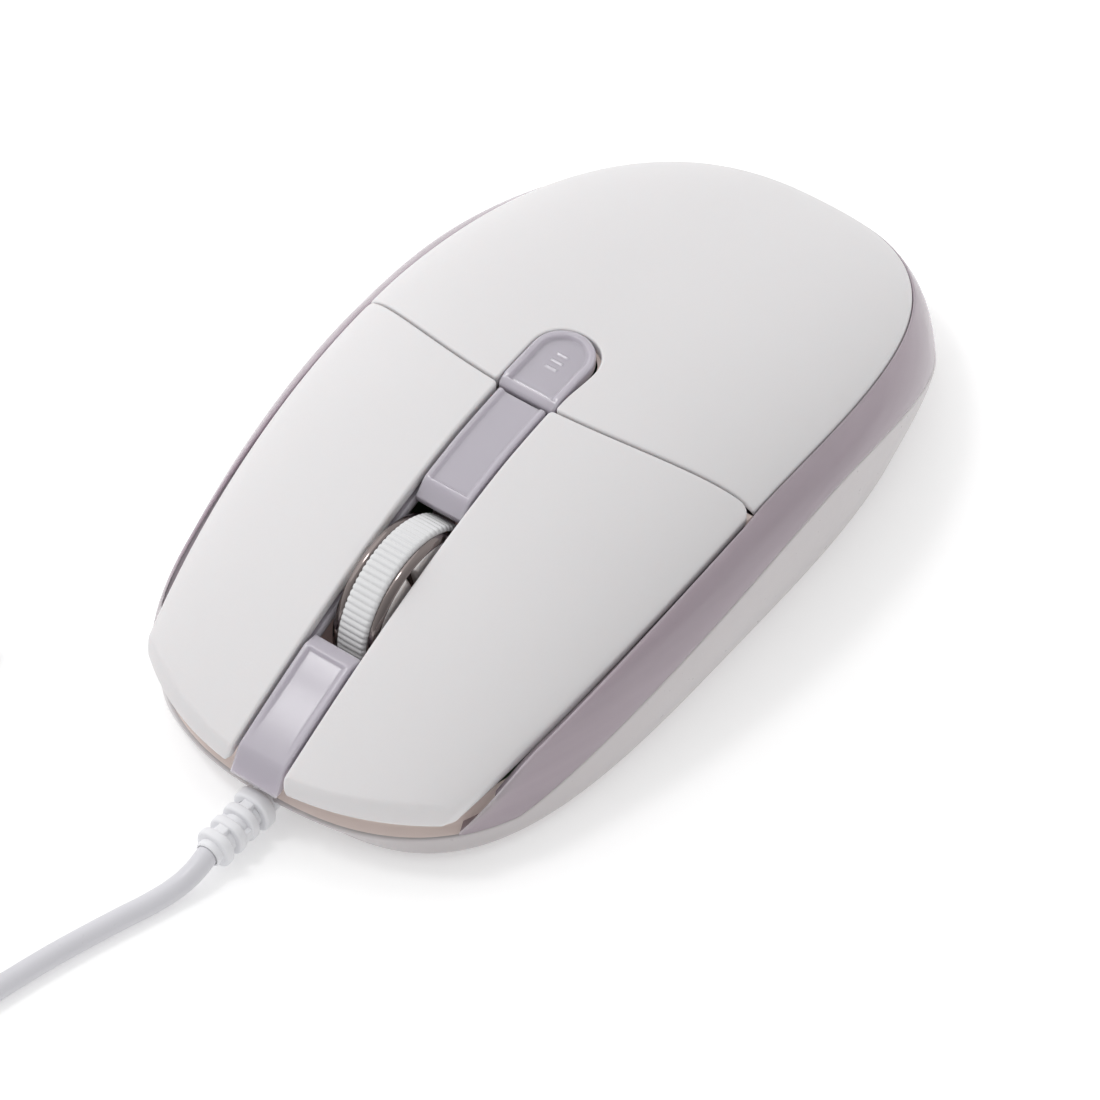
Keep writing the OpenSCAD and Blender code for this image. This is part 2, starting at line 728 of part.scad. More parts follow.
module cord_tie() {
    w = coil_rows * cord_d / 2 + 0.2;
    color(dark_grey)
    translate([coil_mid[0], coil_mid[1], 0]) rotate(270) difference() {
        block([coil_radius - w - 1, -2.5, 0], [2 * w + 1.6, 5, 2 * w + 2 * coil_lift]);
        block([coil_radius - w - 0.5, -3, coil_lift], [2 * w + 0.55, 6, 2 * w]);
    }
}

module plug_body() {
    color(white) {
        translate([plug_x, plug_start, plug_z]) rotate([-90, 0, 0]) cylinder(h = 6, r = 2.3, $fn = 48);
        translate([plug_x, plug_start + 6, plug_z]) rotate([-90, 0, 0]) linear_extrude(20) pad(7, 4, 2.5);
    }
}

module plug_shell() {
    color(steel) difference() {
        block([plug_x - 6, plug_start + 26, plug_z - 2.25], [12, 12, 4.5]);
        block([plug_x - 5.7, plug_start + 26.3, plug_z - 1.95], [11.4, 12, 3.9]);
        for (i = [-1, 1]) block([plug_x + i * 2.6 - 1.2, plug_start + 31.5, plug_z - 5], [2.4, 2.4, 10]);
    }
}

module plug_tongue() {
    color(black) block([plug_x - 5.7, plug_start + 26.3, plug_z - 1.95], [11.4, 11.2, 1.8]);
}

module plug_contacts() {
    color(brass)
    for (i = [-1.5:1:1.5]) block([plug_x + i * 2.3 - 0.5, plug_start + 27.5, plug_z - 0.15], [1, 8.6, 0.15]);
}

// ---- draw ----

bottom_case();
light_band();
centre_spine();
palm_cover();
left_button();
right_button();
dpi_button();
wheel_tyre();
wheel_hub();
wheel_axle();
encoder_disc();
wheel_cradle();
cradle_pin();
encoder_emitter();
encoder_detector();
main_board();
sensor_chip();
sensor_lens();
controller_chip();
capacitor();
resistors();
left_switch();
left_plunger();
right_switch();
right_plunger();
wheel_switch();
wheel_plunger();
dpi_board();
dpi_switch();
dpi_plunger();
button_hinge_pin();
indicator_leds();
cable_header();
cable_plug();
inner_lead();
board_screws();
dpi_board_screws();
case_screws();
front_foot();
rear_foot();
strain_relief();
cord_run();
cord_coil();
cord_tie();
cord_tail();
plug_body();
plug_shell();
plug_tongue();
plug_contacts();
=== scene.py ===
"""Looks of a wired computer mouse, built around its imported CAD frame."""
import math

import bpy
import numpy as np
from mathutils import Matrix, Vector
from mathutils.geometry import delaunay_2d_cdt


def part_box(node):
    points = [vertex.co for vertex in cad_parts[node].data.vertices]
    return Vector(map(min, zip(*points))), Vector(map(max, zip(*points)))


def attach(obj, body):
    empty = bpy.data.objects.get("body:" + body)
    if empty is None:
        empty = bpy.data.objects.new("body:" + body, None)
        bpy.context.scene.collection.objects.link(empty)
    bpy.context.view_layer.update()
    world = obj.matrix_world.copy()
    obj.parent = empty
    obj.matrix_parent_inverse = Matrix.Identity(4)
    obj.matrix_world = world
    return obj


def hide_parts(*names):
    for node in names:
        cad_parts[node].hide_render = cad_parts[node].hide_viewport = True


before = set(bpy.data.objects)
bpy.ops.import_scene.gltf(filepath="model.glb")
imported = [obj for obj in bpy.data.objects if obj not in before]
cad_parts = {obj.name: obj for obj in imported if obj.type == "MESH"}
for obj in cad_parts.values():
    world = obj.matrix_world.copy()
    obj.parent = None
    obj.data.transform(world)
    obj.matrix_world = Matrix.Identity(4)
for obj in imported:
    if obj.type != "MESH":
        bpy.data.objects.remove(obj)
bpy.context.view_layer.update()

# Lengths below are millimetres in the body's own frame (nose at Y = -60); mm() turns them into the row frame.
MM = 0.001
WHEEL_Y, WHEEL_Z = -30.5, 13.6
wheel_low, wheel_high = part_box("wheel_tyre")
SHIFT_Y = (wheel_low.y + wheel_high.y) / 2 / MM - WHEEL_Y
SHIFT_Z = (wheel_low.z + wheel_high.z) / 2 / MM - WHEEL_Z


def mm(points, shift=True):
    p = np.asarray(points, float).reshape(-1, 3).copy()
    if shift:
        p[:, 1] += SHIFT_Y
        p[:, 2] += SHIFT_Z
    return p * MM


# ---------------------------------------------------------------- camera
AZIMUTH, ELEVATION, ROLL = math.radians(36.84), math.radians(47.82), math.radians(-0.12)
CAMERA_AT = (0.2870, -0.3797, 0.5250)
FOCAL = 185.36


def make_camera():
    back = Vector((math.sin(AZIMUTH) * math.cos(ELEVATION), -math.cos(AZIMUTH) * math.cos(ELEVATION),
                   math.sin(ELEVATION)))
    right = Vector((math.cos(AZIMUTH), math.sin(AZIMUTH), 0))
    up = back.cross(right)
    right, up = (math.cos(ROLL) * right + math.sin(ROLL) * up, -math.sin(ROLL) * right + math.cos(ROLL) * up)
    data = bpy.data.cameras.new("camera")
    data.lens, data.sensor_width, data.clip_start, data.clip_end = FOCAL, 36, 0.01, 10
    cam = bpy.data.objects.new("camera", data)
    bpy.context.scene.collection.objects.link(cam)
    cam.matrix_world = Matrix.Translation(CAMERA_AT) @ Matrix((right, up, back)).transposed().to_4x4()
    bpy.context.scene.camera = cam


make_camera()


# ---------------------------------------------------------------- materials
def material(name, color, roughness, bump=0.0, grain=900, mottle=0.03, streak=(1, 1, 1), **inputs):
    """A moulded or metal finish: grain bump, faint mottling of the colour and varied roughness."""
    rough_span = 0.06
    m = bpy.data.materials.new(name)
    m.use_nodes = True
    n, links = m.node_tree.nodes, m.node_tree.links
    b = n["Principled BSDF"]
    for key, value in inputs.items():
        b.inputs[key.replace("_", " ")].default_value = value
    where = n.new("ShaderNodeTexCoord")
    wide = n.new("ShaderNodeTexNoise")
    wide.inputs["Scale"].default_value = 45
    wide.inputs["Detail"].default_value = 3
    stretch = n.new("ShaderNodeMapping")
    stretch.inputs["Scale"].default_value = streak
    links.new(where.outputs["Object"], stretch.inputs["Vector"])
    links.new(stretch.outputs["Vector"], wide.inputs["Vector"])
    ramp = n.new("ShaderNodeValToRGB")
    ramp.color_ramp.elements[0].position, ramp.color_ramp.elements[1].position = 0.3, 0.7
    ramp.color_ramp.elements[0].color = (*[c * (1 - mottle) for c in color], 1)
    ramp.color_ramp.elements[1].color = (*[min(1, c * (1 + mottle)) for c in color], 1)
    links.new(wide.outputs["Fac"], ramp.inputs["Fac"])
    links.new(ramp.outputs["Color"], b.inputs["Base Color"])
    fine = n.new("ShaderNodeTexNoise")
    fine.inputs["Scale"].default_value = grain
    fine.inputs["Detail"].default_value = 4
    links.new(where.outputs["Object"], fine.inputs["Vector"])
    span = n.new("ShaderNodeMapRange")
    span.inputs["To Min"].default_value = max(0.02, roughness - rough_span)
    span.inputs["To Max"].default_value = min(1, roughness + rough_span)
    links.new(fine.outputs["Fac"], span.inputs["Value"])
    links.new(span.outputs["Result"], b.inputs["Roughness"])
    if bump:
        lift = n.new("ShaderNodeBump")
        lift.inputs["Strength"].default_value = bump
        lift.inputs["Distance"].default_value = 0.0002
        links.new(fine.outputs["Fac"], lift.inputs["Height"])
        links.new(lift.outputs["Normal"], b.inputs["Normal"])
    return m


def srgb(r, g, b):
    return tuple((c / 255 / 12.92) if c <= 10 else ((c / 255 + 0.055) / 1.055) ** 2.4 for c in (r, g, b))


def glow(weight, radius, scale):
    """Light that enters the plastic and comes out again, tinted by its radius."""
    return {"Subsurface Weight": weight, "Subsurface Radius": radius, "Subsurface Scale": scale}


SMOKE_GLOW = glow(0.7, (1.0, 0.92, 0.96), 0.0025)
WHITE = material("matte_white", srgb(220, 218, 219), 0.5, bump=0.10, grain=2600, mottle=0.006,
                 **glow(0.3, (1.0, 0.8, 0.74), 0.0012))
GLOSS = material("gloss_white", srgb(198, 193, 194), 0.3, mottle=0.006,
                 **glow(0.25, (1.0, 0.78, 0.7), 0.0008))
# Painted glow: the warm beige tint and the emission stand in for light that comes through the translucent
# plastic into shaded gaps.
WARM_PAINTED_GLOW = material("warm_white_painted_glow", srgb(226, 212, 206), 0.4, bump=0.02, grain=1500, mottle=0.02,
                Emission_Color=(0.8, 0.68, 0.63, 1), Emission_Strength=0.16)
SMOKE = material("smoke", srgb(183, 178, 187), 0.16, bump=0.003, grain=1500, mottle=0.015, **SMOKE_GLOW)
BAND = material("band", srgb(167, 155, 163), 0.2, mottle=0.07, streak=(0.35, 0.35, 5),
                **SMOKE_GLOW)
TYRE = material("tyre_rubber", srgb(222, 222, 223), 0.55, bump=0.05, grain=1800, mottle=0.01)
# Painted highlight: the near-white base colour and partial metalness stand in for the bright reflections of
# the lit button walls on the hub pads.
SATIN_PAINTED_HIGHLIGHT = material("satin_chrome_painted_highlight", srgb(244, 240, 238), 0.3, bump=0.02, grain=2500, mottle=0.02, Metallic=0.75)
# Painted reflection: the base colour is darkened to stand in for the dark surroundings that the hub flange
# reflects.
CHROME_PAINTED_DARK_REFLECTION = material("chrome", srgb(130, 121, 119), 0.1, bump=0.02, grain=2500, mottle=0.02, Metallic=1.0)
# Dark plastic with painted glow: the lifted base colour and the emission stand in for light reaching the
# shaded inside round the wheel.
DARK_PLASTIC_PAINTED_GLOW = material("dark_plastic", srgb(150, 130, 128), 0.45, bump=0.1, grain=1500, mottle=0.05,
                Emission_Color=(0.5, 0.36, 0.34, 1), Emission_Strength=0.1)
STEEL = material("steel", srgb(196, 196, 200), 0.24, bump=0.03, grain=3000, mottle=0.02, Metallic=1.0)
BOARD = material("circuit_board", srgb(28, 78, 44), 0.38, bump=0.08, grain=1100, mottle=0.12)
CHIP = material("chip_black", srgb(34, 34, 37), 0.52, bump=0.12, grain=2400, mottle=0.08)
PLUNGER = material("plunger", srgb(196, 62, 50), 0.4, bump=0.03, grain=1500, mottle=0.03)
CLEAR = material("clear_lens", srgb(225, 230, 236), 0.08, mottle=0.01,
                 **{"Transmission Weight": 0.8, "IOR": 1.49})
LED = material("led_body", srgb(244, 240, 214), 0.25, mottle=0.02, **{"Coat Weight": 0.3})
CONNECTOR = material("connector", srgb(238, 233, 218), 0.42, bump=0.04, grain=1500, mottle=0.02)
RELIEF = material("relief_white", srgb(232, 232, 235), 0.42, bump=0.04, grain=1400, mottle=0.01)
JACKET = material("cord_jacket", srgb(211, 210, 215), 0.3, bump=0.06, grain=1400, mottle=0.015,
                  **{"Sheen Weight": 0.1})
SLEEVE = material("inner_sleeve", srgb(50, 50, 54), 0.55, bump=0.08, grain=1500, mottle=0.06)
GLIDE = material("glide", srgb(40, 40, 43), 0.3, bump=0.04, grain=900, mottle=0.05)
GOLD = material("gold_contact", srgb(226, 184, 92), 0.2, mottle=0.03, Metallic=1.0)


# ---------------------------------------------------------------- mesh helpers
def piece(name, points, faces, mat, body, replaces=(), shift=True, smooth=True, flip=False):
    """A mesh from millimetre points, riding on a body."""
    mesh = bpy.data.meshes.new(name)
    if flip:
        faces = [f[::-1] for f in faces]
    mesh.from_pydata(mm(points, shift).tolist(), [], [tuple(int(i) for i in f) for f in faces])
    mesh.update()
    mesh.polygons.foreach_set("use_smooth", [smooth] * len(mesh.polygons))
    mesh.materials.append(mat)
    o = bpy.data.objects.new(name, mesh)
    bpy.context.scene.collection.objects.link(o)
    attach(o, body)
    if replaces:
        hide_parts(*replaces)
    return o


class Build:
    """Collects points and faces of one piece."""

    def __init__(self):
        self.points, self.faces = [], []

    def add(self, points):
        start = len(self.points)
        self.points.extend(np.asarray(points, float).reshape(-1, 3).tolist())
        return list(range(start, len(self.points)))

    def bridge(self, a, b, closed=True):
        n = len(a)
        for i in range(n if closed else n - 1):
            j = (i + 1) % n
            self.faces.append((a[i], a[j], b[j], b[i]))

    def loft(self, rings, closed=True, around=False):
        ids = [self.add(r) for r in rings]
        for a, b in zip(ids, ids[1:] + ids[:1] if around else ids[1:]):
            self.bridge(a, b, closed)
        return ids

    def cap(self, ring, flip=False):
        """A fan over a ring, from its middle."""
        middle = self.add([np.mean([self.points[i] for i in ring], 0)])[0]
        for i in range(len(ring)):
            a, b = ring[i], ring[(i + 1) % len(ring)]
            self.faces.append((b, a, middle) if flip else (a, b, middle))


def resample(line, n):
    """n points evenly along an open line, its ends included."""
    line = np.asarray(line, float)
    step = np.r_[0, np.cumsum(np.linalg.norm(np.diff(line, axis=0), axis=1))]
    t = np.linspace(0, step[-1], n)
    return np.stack([np.interp(t, step, line[:, k]) for k in range(line.shape[1])], -1)


def offset(line, d):
    """A plan line moved to its left by d."""
    way = np.gradient(line, axis=0)
    way /= np.linalg.norm(way, axis=1)[:, None]
    return line + d * np.stack([-way[:, 1], way[:, 0]], -1)


def crossing(a, b):
    """Where line a first meets line b: the place along each, in points."""
    p, r = a[:-1, None], np.diff(a, axis=0)[:, None]
    q, s = b[None, :-1], np.diff(b, axis=0)[None]

    def cross(u, v):
        return u[..., 0] * v[..., 1] - u[..., 1] * v[..., 0]

    den = cross(r, s)
    den = np.where(np.abs(den) < 1e-12, 1e-12, den)
    t, u = cross(q - p, s) / den, cross(q - p, r) / den
    hit = np.argwhere((t >= 0) & (t <= 1) & (u >= 0) & (u <= 1))
    i, j = hit[-1]
    return i + t[i, j], j + u[i, j]


def part_of(line, a, b):
    """The stretch of a line from place a to place b, in points."""
    k = np.arange(len(line))
    inner = k[(k > a + 1e-6) & (k < b - 1e-6)]
    at = np.r_[a, inner, b]
    return np.stack([np.interp(at, k, line[:, c]) for c in range(2)], -1)


def plan_loop(sides, d, radii, counts, corner=9):
    """A closed plan outline from side lines that cross, moved inward by d, with round corners."""
    moved = [offset(np.asarray(s, float), d) for s in sides]
    n = len(moved)
    meets = [crossing(moved[i], moved[(i + 1) % n]) for i in range(n)]
    loop = []
    for i in range(n):
        line = part_of(moved[i], meets[i - 1][1], meets[i][0])
        r0, r1 = max(0.12, radii[i - 1] - d), max(0.12, radii[i] - d)
        step = np.r_[0, np.cumsum(np.linalg.norm(np.diff(line, axis=0), axis=1))]
        t = np.linspace(r0, step[-1] - r1, counts[i])
        pts = np.stack([np.interp(t, step, line[:, k]) for k in range(2)], -1)
        nxt = part_of(moved[(i + 1) % n], meets[i][1], meets[(i + 1) % n][0])
        nstep = np.r_[0, np.cumsum(np.linalg.norm(np.diff(nxt, axis=0), axis=1))]
        end = np.array([np.interp(r1, nstep, nxt[:, k]) for k in range(2)])
        tip = line[-1]
        loop.append(pts)
        u = np.linspace(0, 1, corner + 2)[1:-1, None]
        h0, h1 = pts[-1] + 0.56 * (tip - pts[-1]), end + 0.56 * (tip - end)
        v = 1 - u
        loop.append(v ** 3 * pts[-1] + 3 * v * v * u * h0 + 3 * v * u * u * h1 + u ** 3 * end)
    return np.concatenate(loop)


def inside(points, loop):
    """Which plan points lie inside a closed loop."""
    x, y = points[:, 0][:, None], points[:, 1][:, None]
    a, b = loop, np.roll(loop, -1, 0)
    cut = (a[:, 1] > y) != (b[:, 1] > y)
    climb = np.where(b[:, 1] == a[:, 1], 1e-12, b[:, 1] - a[:, 1])
    at = a[:, 0] + (y - a[:, 1]) * (b[:, 0] - a[:, 0]) / climb
    return (cut & (x < at)).sum(1) % 2 == 1


def away(points, loop):
    """Distance of plan points from a closed loop's points."""
    return np.sqrt(((points[:, None] - loop[None]) ** 2).sum(-1)).min(1)


def hex_grid(low, high, step):
    """Plan points on a triangular grid over a rectangle."""
    points = []
    for i, y in enumerate(np.arange(low[1], high[1], step * 0.866)):
        points += [(x, y) for x in np.arange(low[0] + (i % 2) * step / 2, high[0], step)]
    return np.array(points)


def fill(build, ids, loop, surface, step, flip=False, extra=None, holes=()):
    """Fills a plan loop whose points are already in the build with triangles on a surface."""
    rim = np.concatenate([loop] + [h for _, h in holes])

    def clear(points, gap):
        keep = inside(points, loop) & (away(points, rim) > gap)
        for _, h in holes:
            keep &= ~inside(points, h)
        return points[keep]

    pts = clear(hex_grid(loop.min(0), loop.max(0), step), step * 0.55)
    if extra is not None:
        extra = clear(extra, 0.2)
        pts = np.concatenate([pts[away(pts, extra) > step * 0.6], extra])
    z = surface(pts[:, 0], pts[:, 1])
    ids = list(ids)
    edges, start = [], 0
    for edge_loop in [loop] + [h for _, h in holes]:
        n = len(edge_loop)
        edges += [(start + i, start + (i + 1) % n) for i in range(n)]
        start += n
    rim_ids = ids + [i for h_ids, _ in holes for i in h_ids]
    inner = build.add(np.c_[pts, z])
    coords = [Vector(p) for p in np.concatenate([rim, pts])]
    out = delaunay_2d_cdt(coords, edges, [], 0, 1e-7)
    back = [o[0] for o in out[3]]
    names = rim_ids + inner
    flat = np.array([v[:] for v in out[0]])
    tris = np.array([f[:3] for f in out[2]])
    mid = flat[tris].mean(1)
    ok = inside(mid, loop)
    for _, h in holes:
        ok &= ~inside(mid, h)
    for t in tris[ok]:
        f = [names[back[i]] for i in t]
        build.faces.append(tuple(f[::-1] if flip else f))


def roll_off(d, r):
    """How far a round edge of radius r has dropped at distance d from the side."""
    return r - math.sqrt(max(0, r * r - max(0, r - d) ** 2))


def cover(name, sides, radii, counts, top, low, wall, edge, mat, body, replaces, step=1.6, extra=None,
          mirror=False):
    """A shell over a plan outline: rounded upper edge, side wall, open underside with its own wall."""
    low_edge = 0.25
    b = Build()
    edge_steps = np.array([0, 0.04, 0.13, 0.3, 0.55, 0.85, 1.2]) * edge
    loops = [(d, plan_loop(sides, d, radii, counts)) for d in edge_steps]
    outer = loops[0][1]
    z_low = low(outer[:, 0], outer[:, 1])
    z_top = top(outer[:, 0], outer[:, 1]) - edge
    rings = []
    inner_loop = plan_loop(sides, wall, radii, counts)
    z_in = top(inner_loop[:, 0], inner_loop[:, 1]) - wall
    z_in_low = low(inner_loop[:, 0], inner_loop[:, 1])
    z_in_low = np.minimum(z_in_low, z_in - 0.02)
    for d in (1.0, 0.5, 0.15):
        l = plan_loop(sides, low_edge * d, radii, counts)
        rings.append(np.c_[l, z_low + low_edge * (1 - d) * 0.3])
    rings.append(np.c_[outer, z_low + low_edge])
    for t in (0.35, 0.7):
        rings.append(np.c_[outer, z_low + low_edge + (z_top - z_low - low_edge) * t])
    for d, l in loops:
        rings.append(np.c_[l, top(l[:, 0], l[:, 1]) - roll_off(d, edge)])
    ids = b.loft(rings)
    last = loops[-1][1]
    fill(b, ids[-1], last, top, step, extra=extra)
    bottom = b.add(np.c_[inner_loop, z_in_low])
    b.bridge(bottom, ids[0])
    upper = b.add(np.c_[inner_loop, z_in])
    b.bridge(upper, bottom)
    fill(b, upper, inner_loop, lambda x, y: top(x, y) - wall, step * 1.4, flip=True)
    points = np.array(b.points) * ((-1, 1, 1) if mirror else (1, 1, 1))
    return piece(name, points, b.faces, mat, body, replaces, flip=mirror)


# ---------------------------------------------------------------- the body's curves
# an outline: widest half, its Y, reach to the front and rear, and the two powers
HALF_LENGTH, HALF_WIDTH = 60, 33.25
COVER_LINE = (29.4, -1.2, 83.2, 60, 2, 2.58)
BAND_LINE = (HALF_WIDTH, -1.2, 85.4, 61.2, 1.88, 2.73)
BASE_LINE = (30.7, -2.3, 54.2, 58.5, 3.5, 3)
LIP_LINE = (36, -1.2, 57.4, 90, 2.5, 2.5)
CREST_Y, LIP_Z, NOSE_Z, SEAM = 5, 4.4, 8.2, 0.14
SPINE_HALF, BUTTON_INNER, DPI_HALF, DPI_Y = 3.5, 3.95, 4.2, 1.2
FOOT_Z, FLOOR_Z, CASE_WALL = 0.8, 2.4, 1.8
CORNER_X, BAND_REACH, CASE_POINTS = 28.75, 154.7, 480


def clamp(t):
    return np.clip(t, 0, 1)


def smooth(t):
    t = clamp(t)
    return t * t * (3 - 2 * t)


def soft_min(a, b, k):
    h = clamp(0.5 + 0.5 * (b - a) / k)
    return b + (a - b) * h - k * h * (1 - h)


def outline_r(o, a):
    front = np.sin(a) < 0
    reach, power = np.where(front, o[2], o[3]), np.where(front, o[4], o[5])
    return ((np.abs(np.cos(a)) / o[0]) ** power + (np.abs(np.sin(a)) / reach) ** power) ** (-1 / power)


def outline_at(o, a, grow=0.0):
    r = outline_r(o, a) + grow
    return np.stack([r * np.cos(a), o[1] + r * np.sin(a)], -1)


def half_at(o, y):
    front = y < o[1]
    reach, power = np.where(front, o[2], o[3]), np.where(front, o[4], o[5])
    return o[0] * (1 - clamp(np.abs(y - o[1]) / reach) ** power) ** (1 / power)


def edge_z(y, top, front, rear):
    ahead = clamp((CREST_Y - y) / (CREST_Y + HALF_LENGTH)) ** 1.72
    behind = clamp((y - CREST_Y) / (HALF_LENGTH - CREST_Y)) ** 1.72
    return np.where(y < CREST_Y, top + (front - top) * ahead, top + (rear - top) * behind)


def rim_z(y):
    return edge_z(y, 21.4, 6.5, 9.8)


def band_z(y):
    ahead, behind = clamp((13 - y) / 73) ** 1.82, clamp((y - 13) / 47) ** 1.75
    return np.maximum(LIP_Z, 16.5 - 19.5 * ahead - 17.8 * behind)


def rise(y):
    return 8.6 - 3.4 * clamp((-y - 15) / 45) ** 1.2


def inward(x, y):
    front = y < COVER_LINE[1]
    reach, p = np.where(front, COVER_LINE[2], COVER_LINE[3]), np.where(front, COVER_LINE[4], COVER_LINE[5])
    return ((np.abs(x) / COVER_LINE[0]) ** p + (np.abs(y - COVER_LINE[1]) / reach) ** p) ** (1 / p)


def dome(x, y):
    return rim_z(y) + rise(y) * np.maximum(0, 1 - inward(x, y) ** 2.5) ** 0.625


def front_y(x):
    return -HALF_LENGTH + 5.2 * (x / 20) ** 2 + 0.65 * (x / 20) ** 4


def split_y(x):
    return -6.3 + 6.6 * (x / 29) ** 2


def case_r(a):
    return (outline_r(BAND_LINE, a) ** -24 + outline_r(LIP_LINE, a) ** -24) ** (-1 / 24)


def along_x(x0, x1, f, n=120):
    x = np.linspace(x0, x1, n)
    return np.stack([x, f(x)], -1)


def arch(r, y_front, clockwise, crescent=0.0):
    """The plan round the small centre button: two straight sides and a half circle, wider at one side."""
    a = np.radians(np.linspace(180, 0, 61))
    wide = r + crescent * smooth((np.radians(100) - a) / np.radians(75))
    left = [(-r, y) for y in np.linspace(y_front, DPI_Y, 30)[:-1]]
    right = [(r + crescent * float(smooth((y - DPI_Y + 6) / 6)), y)
             for y in np.linspace(DPI_Y, y_front, 30)[1:]]
    line = np.concatenate([left, np.stack([wide * np.cos(a), DPI_Y + wide * np.sin(a)], -1), right])
    return line if clockwise else line[::-1]


# ---------------------------------------------------------------- covers
def palm_cover():
    arc = outline_at(COVER_LINE, np.radians(np.linspace(-8, 188, 500)))
    sides = [arc, along_x(-36, -2, lambda x: split_y(x) + SEAM), arch(DPI_HALF + 0.22, -12, True, 0.5),
             along_x(2, 36, lambda x: split_y(x) + SEAM)]
    rows = [resample(offset(arc, d), int(190 / (0.7 + 0.3 * d))) for d in (0.9, 1.4, 2.1, 3.1, 4.4)]

    def low(x, y):
        return dome(x, y) - 1.8 + 0.8 * inward(x, y) ** 6

    return cover("palm_cover_shell", sides, (0.35, 0.5, 0.5, 0.35), (230, 40, 60, 40), dome, low, 1.6, 0.3,
                 WHITE, "base", ["palm_cover"], extra=np.concatenate(rows))


def button_top(x, y):
    return soft_min(dome(x, y), NOSE_Z + 0.75 + 2.5 * (y - front_y(x)), 0.5)


def button(name, body, node, mirror):
    y = np.linspace(-68, 6, 300)
    outer = np.stack([half_at(COVER_LINE, y) - 0.15, y], -1)
    sides = [along_x(0, 34, front_y), outer, along_x(34, 0, lambda x: split_y(x) - SEAM),
             np.array([(BUTTON_INNER, v) for v in np.linspace(2, -66, 120)])]
    rows = [resample(offset(outer, d), int(74 / (0.7 + 0.3 * d))) for d in (0.9, 1.4, 2.1, 3.1, 4.4)]
    rows += [np.stack([np.linspace(4.2, 23, 40), front_y(np.linspace(4.2, 23, 40)) + d], -1)
             for d in (0.75, 0.95, 1.15, 1.4, 1.75, 2.3)]
    return cover(name, sides, (1.1, 1.3, 0.7, 0.9), (44, 120, 50, 110), button_top,
                 lambda x, y: np.minimum(dome(x, y) - 1.7, button_top(x, y) - 0.75), 1.3, 0.42, WHITE, body,
                 [node], extra=np.concatenate(rows), mirror=mirror)


def split_ledge():
    """Steps of the palm cover seen in its gaps: below the seam, at its ends, round the small button. Their
    warm painted glow stands in for light coming through the plastic.
    """
    b = Build()
    for s in (-1, 1):
        rings = []
        for x in np.linspace(5.2, 28.2, 60) * s:
            edge = float(split_y(x))
            z = float(dome(x, edge)) - 1.9
            front, rear = edge - 0.9, edge + 0.6
            rings.append([(x, front, z), (x, rear, z), (x, rear, z - 0.6), (x, front, z - 0.6)][::s])
        ids = b.loft(rings)
        b.cap(ids[0], flip=True)
        b.cap(ids[-1])
        x = s * CORNER_X
        edge = float(split_y(x))
        z = float(rim_z(edge)) - 0.5
        nub = [(x - s * 0.9, edge + 0.3), (x + s * 0.42, edge - 0.75), (x + s * 0.62, edge + 0.3)][::s]
        ids = b.loft([[(u, v, z - 1.8) for u, v in nub], [(u, v, z - 0.08) for u, v in nub],
                      [(u + (x - u) * 0.15, v + (edge - v) * 0.15, z) for u, v in nub]])
        b.cap(ids[0])
        b.cap(ids[-1], flip=True)
    rings = []
    for a in np.radians(np.linspace(-15, 195, 80)):
        way = np.array([math.cos(a), math.sin(a)])
        near, far = (DPI_HALF + 0.2) * way + (0, DPI_Y), (DPI_HALF + 1.3) * way + (0, DPI_Y)
        z = float(dome(*near)) - 1.75
        rings.append([(*near, z), (*far, z), (*far, z - 0.5), (*near, z - 0.5)])
    ids = b.loft(rings)
    b.cap(ids[0])
    b.cap(ids[-1], flip=True)
    return piece("split_ledge", b.points, b.faces, WARM_PAINTED_GLOW, "base", smooth=False, flip=True)


palm_cover()
split_ledge()
button("left_button_shell", "left_key", "left_button", False)
button("right_button_shell", "right_key", "right_button", True)


# ---------------------------------------------------------------- light band and bottom case
def band_gap(y):
    near = 0.3 + 0.9 * clamp((-y - 5) / 40) ** 2
    return near + (0.1 - near) * smooth((y + 2) / 5)


def band_tip(y):
    return np.sqrt(1 - clamp((-y - 41) / 9) ** 2)


def light_band():
    b = Build()
    rings = []
    ends = np.sin(np.linspace(-0.5, 0.5, 301) * np.pi)
    for a in np.radians(90 + BAND_REACH * ends):
        out = np.array([math.cos(a), math.sin(a)])
        low = np.array([0, BAND_LINE[1]]) + (case_r(a) - 0.1) * out
        k = max(0.05, float(band_tip(low[1])))
        top = outline_at(COVER_LINE, a, float(band_gap(low[1])) + 0.22)
        zl, zt = float(band_z(low[1])), float(rim_z(top[1]))
        zt = zl + (zt - zl) * k
        high = low + (top - low) * k
        base = low - 2 * out
        ring = [(*(low - 0.12 * out), zl - 0.25)]
        for t in np.linspace(0, 1, 15):
            h, v = 0.32 * t * (1 - t) + t * t, 1.32 * t * (1 - t) + t * t
            ring.append((*(low + (high - low) * h), zl + (zt - zl) * v))
        for inn, down in ((0.09, 0.02), (0.16, 0.07), (0.21, 0.16), (0.22, 0.3)):
            ring.append((*(high - inn * k * out), zt - down * k))
        ring.append((*(high - 0.24 * k * out), zt - 1.5 * k))
        ring += [(*(base + (high - base) * 0.3 * k), zl + (zt - zl) * 0.45), (*base, zl - 0.25)]
        rings.append(ring)
    ids = b.loft(rings)
    b.cap(ids[0], flip=True)
    b.cap(ids[-1])
    return piece("light_band_shell", b.points, b.faces, BAND, "base", ["light_band"])


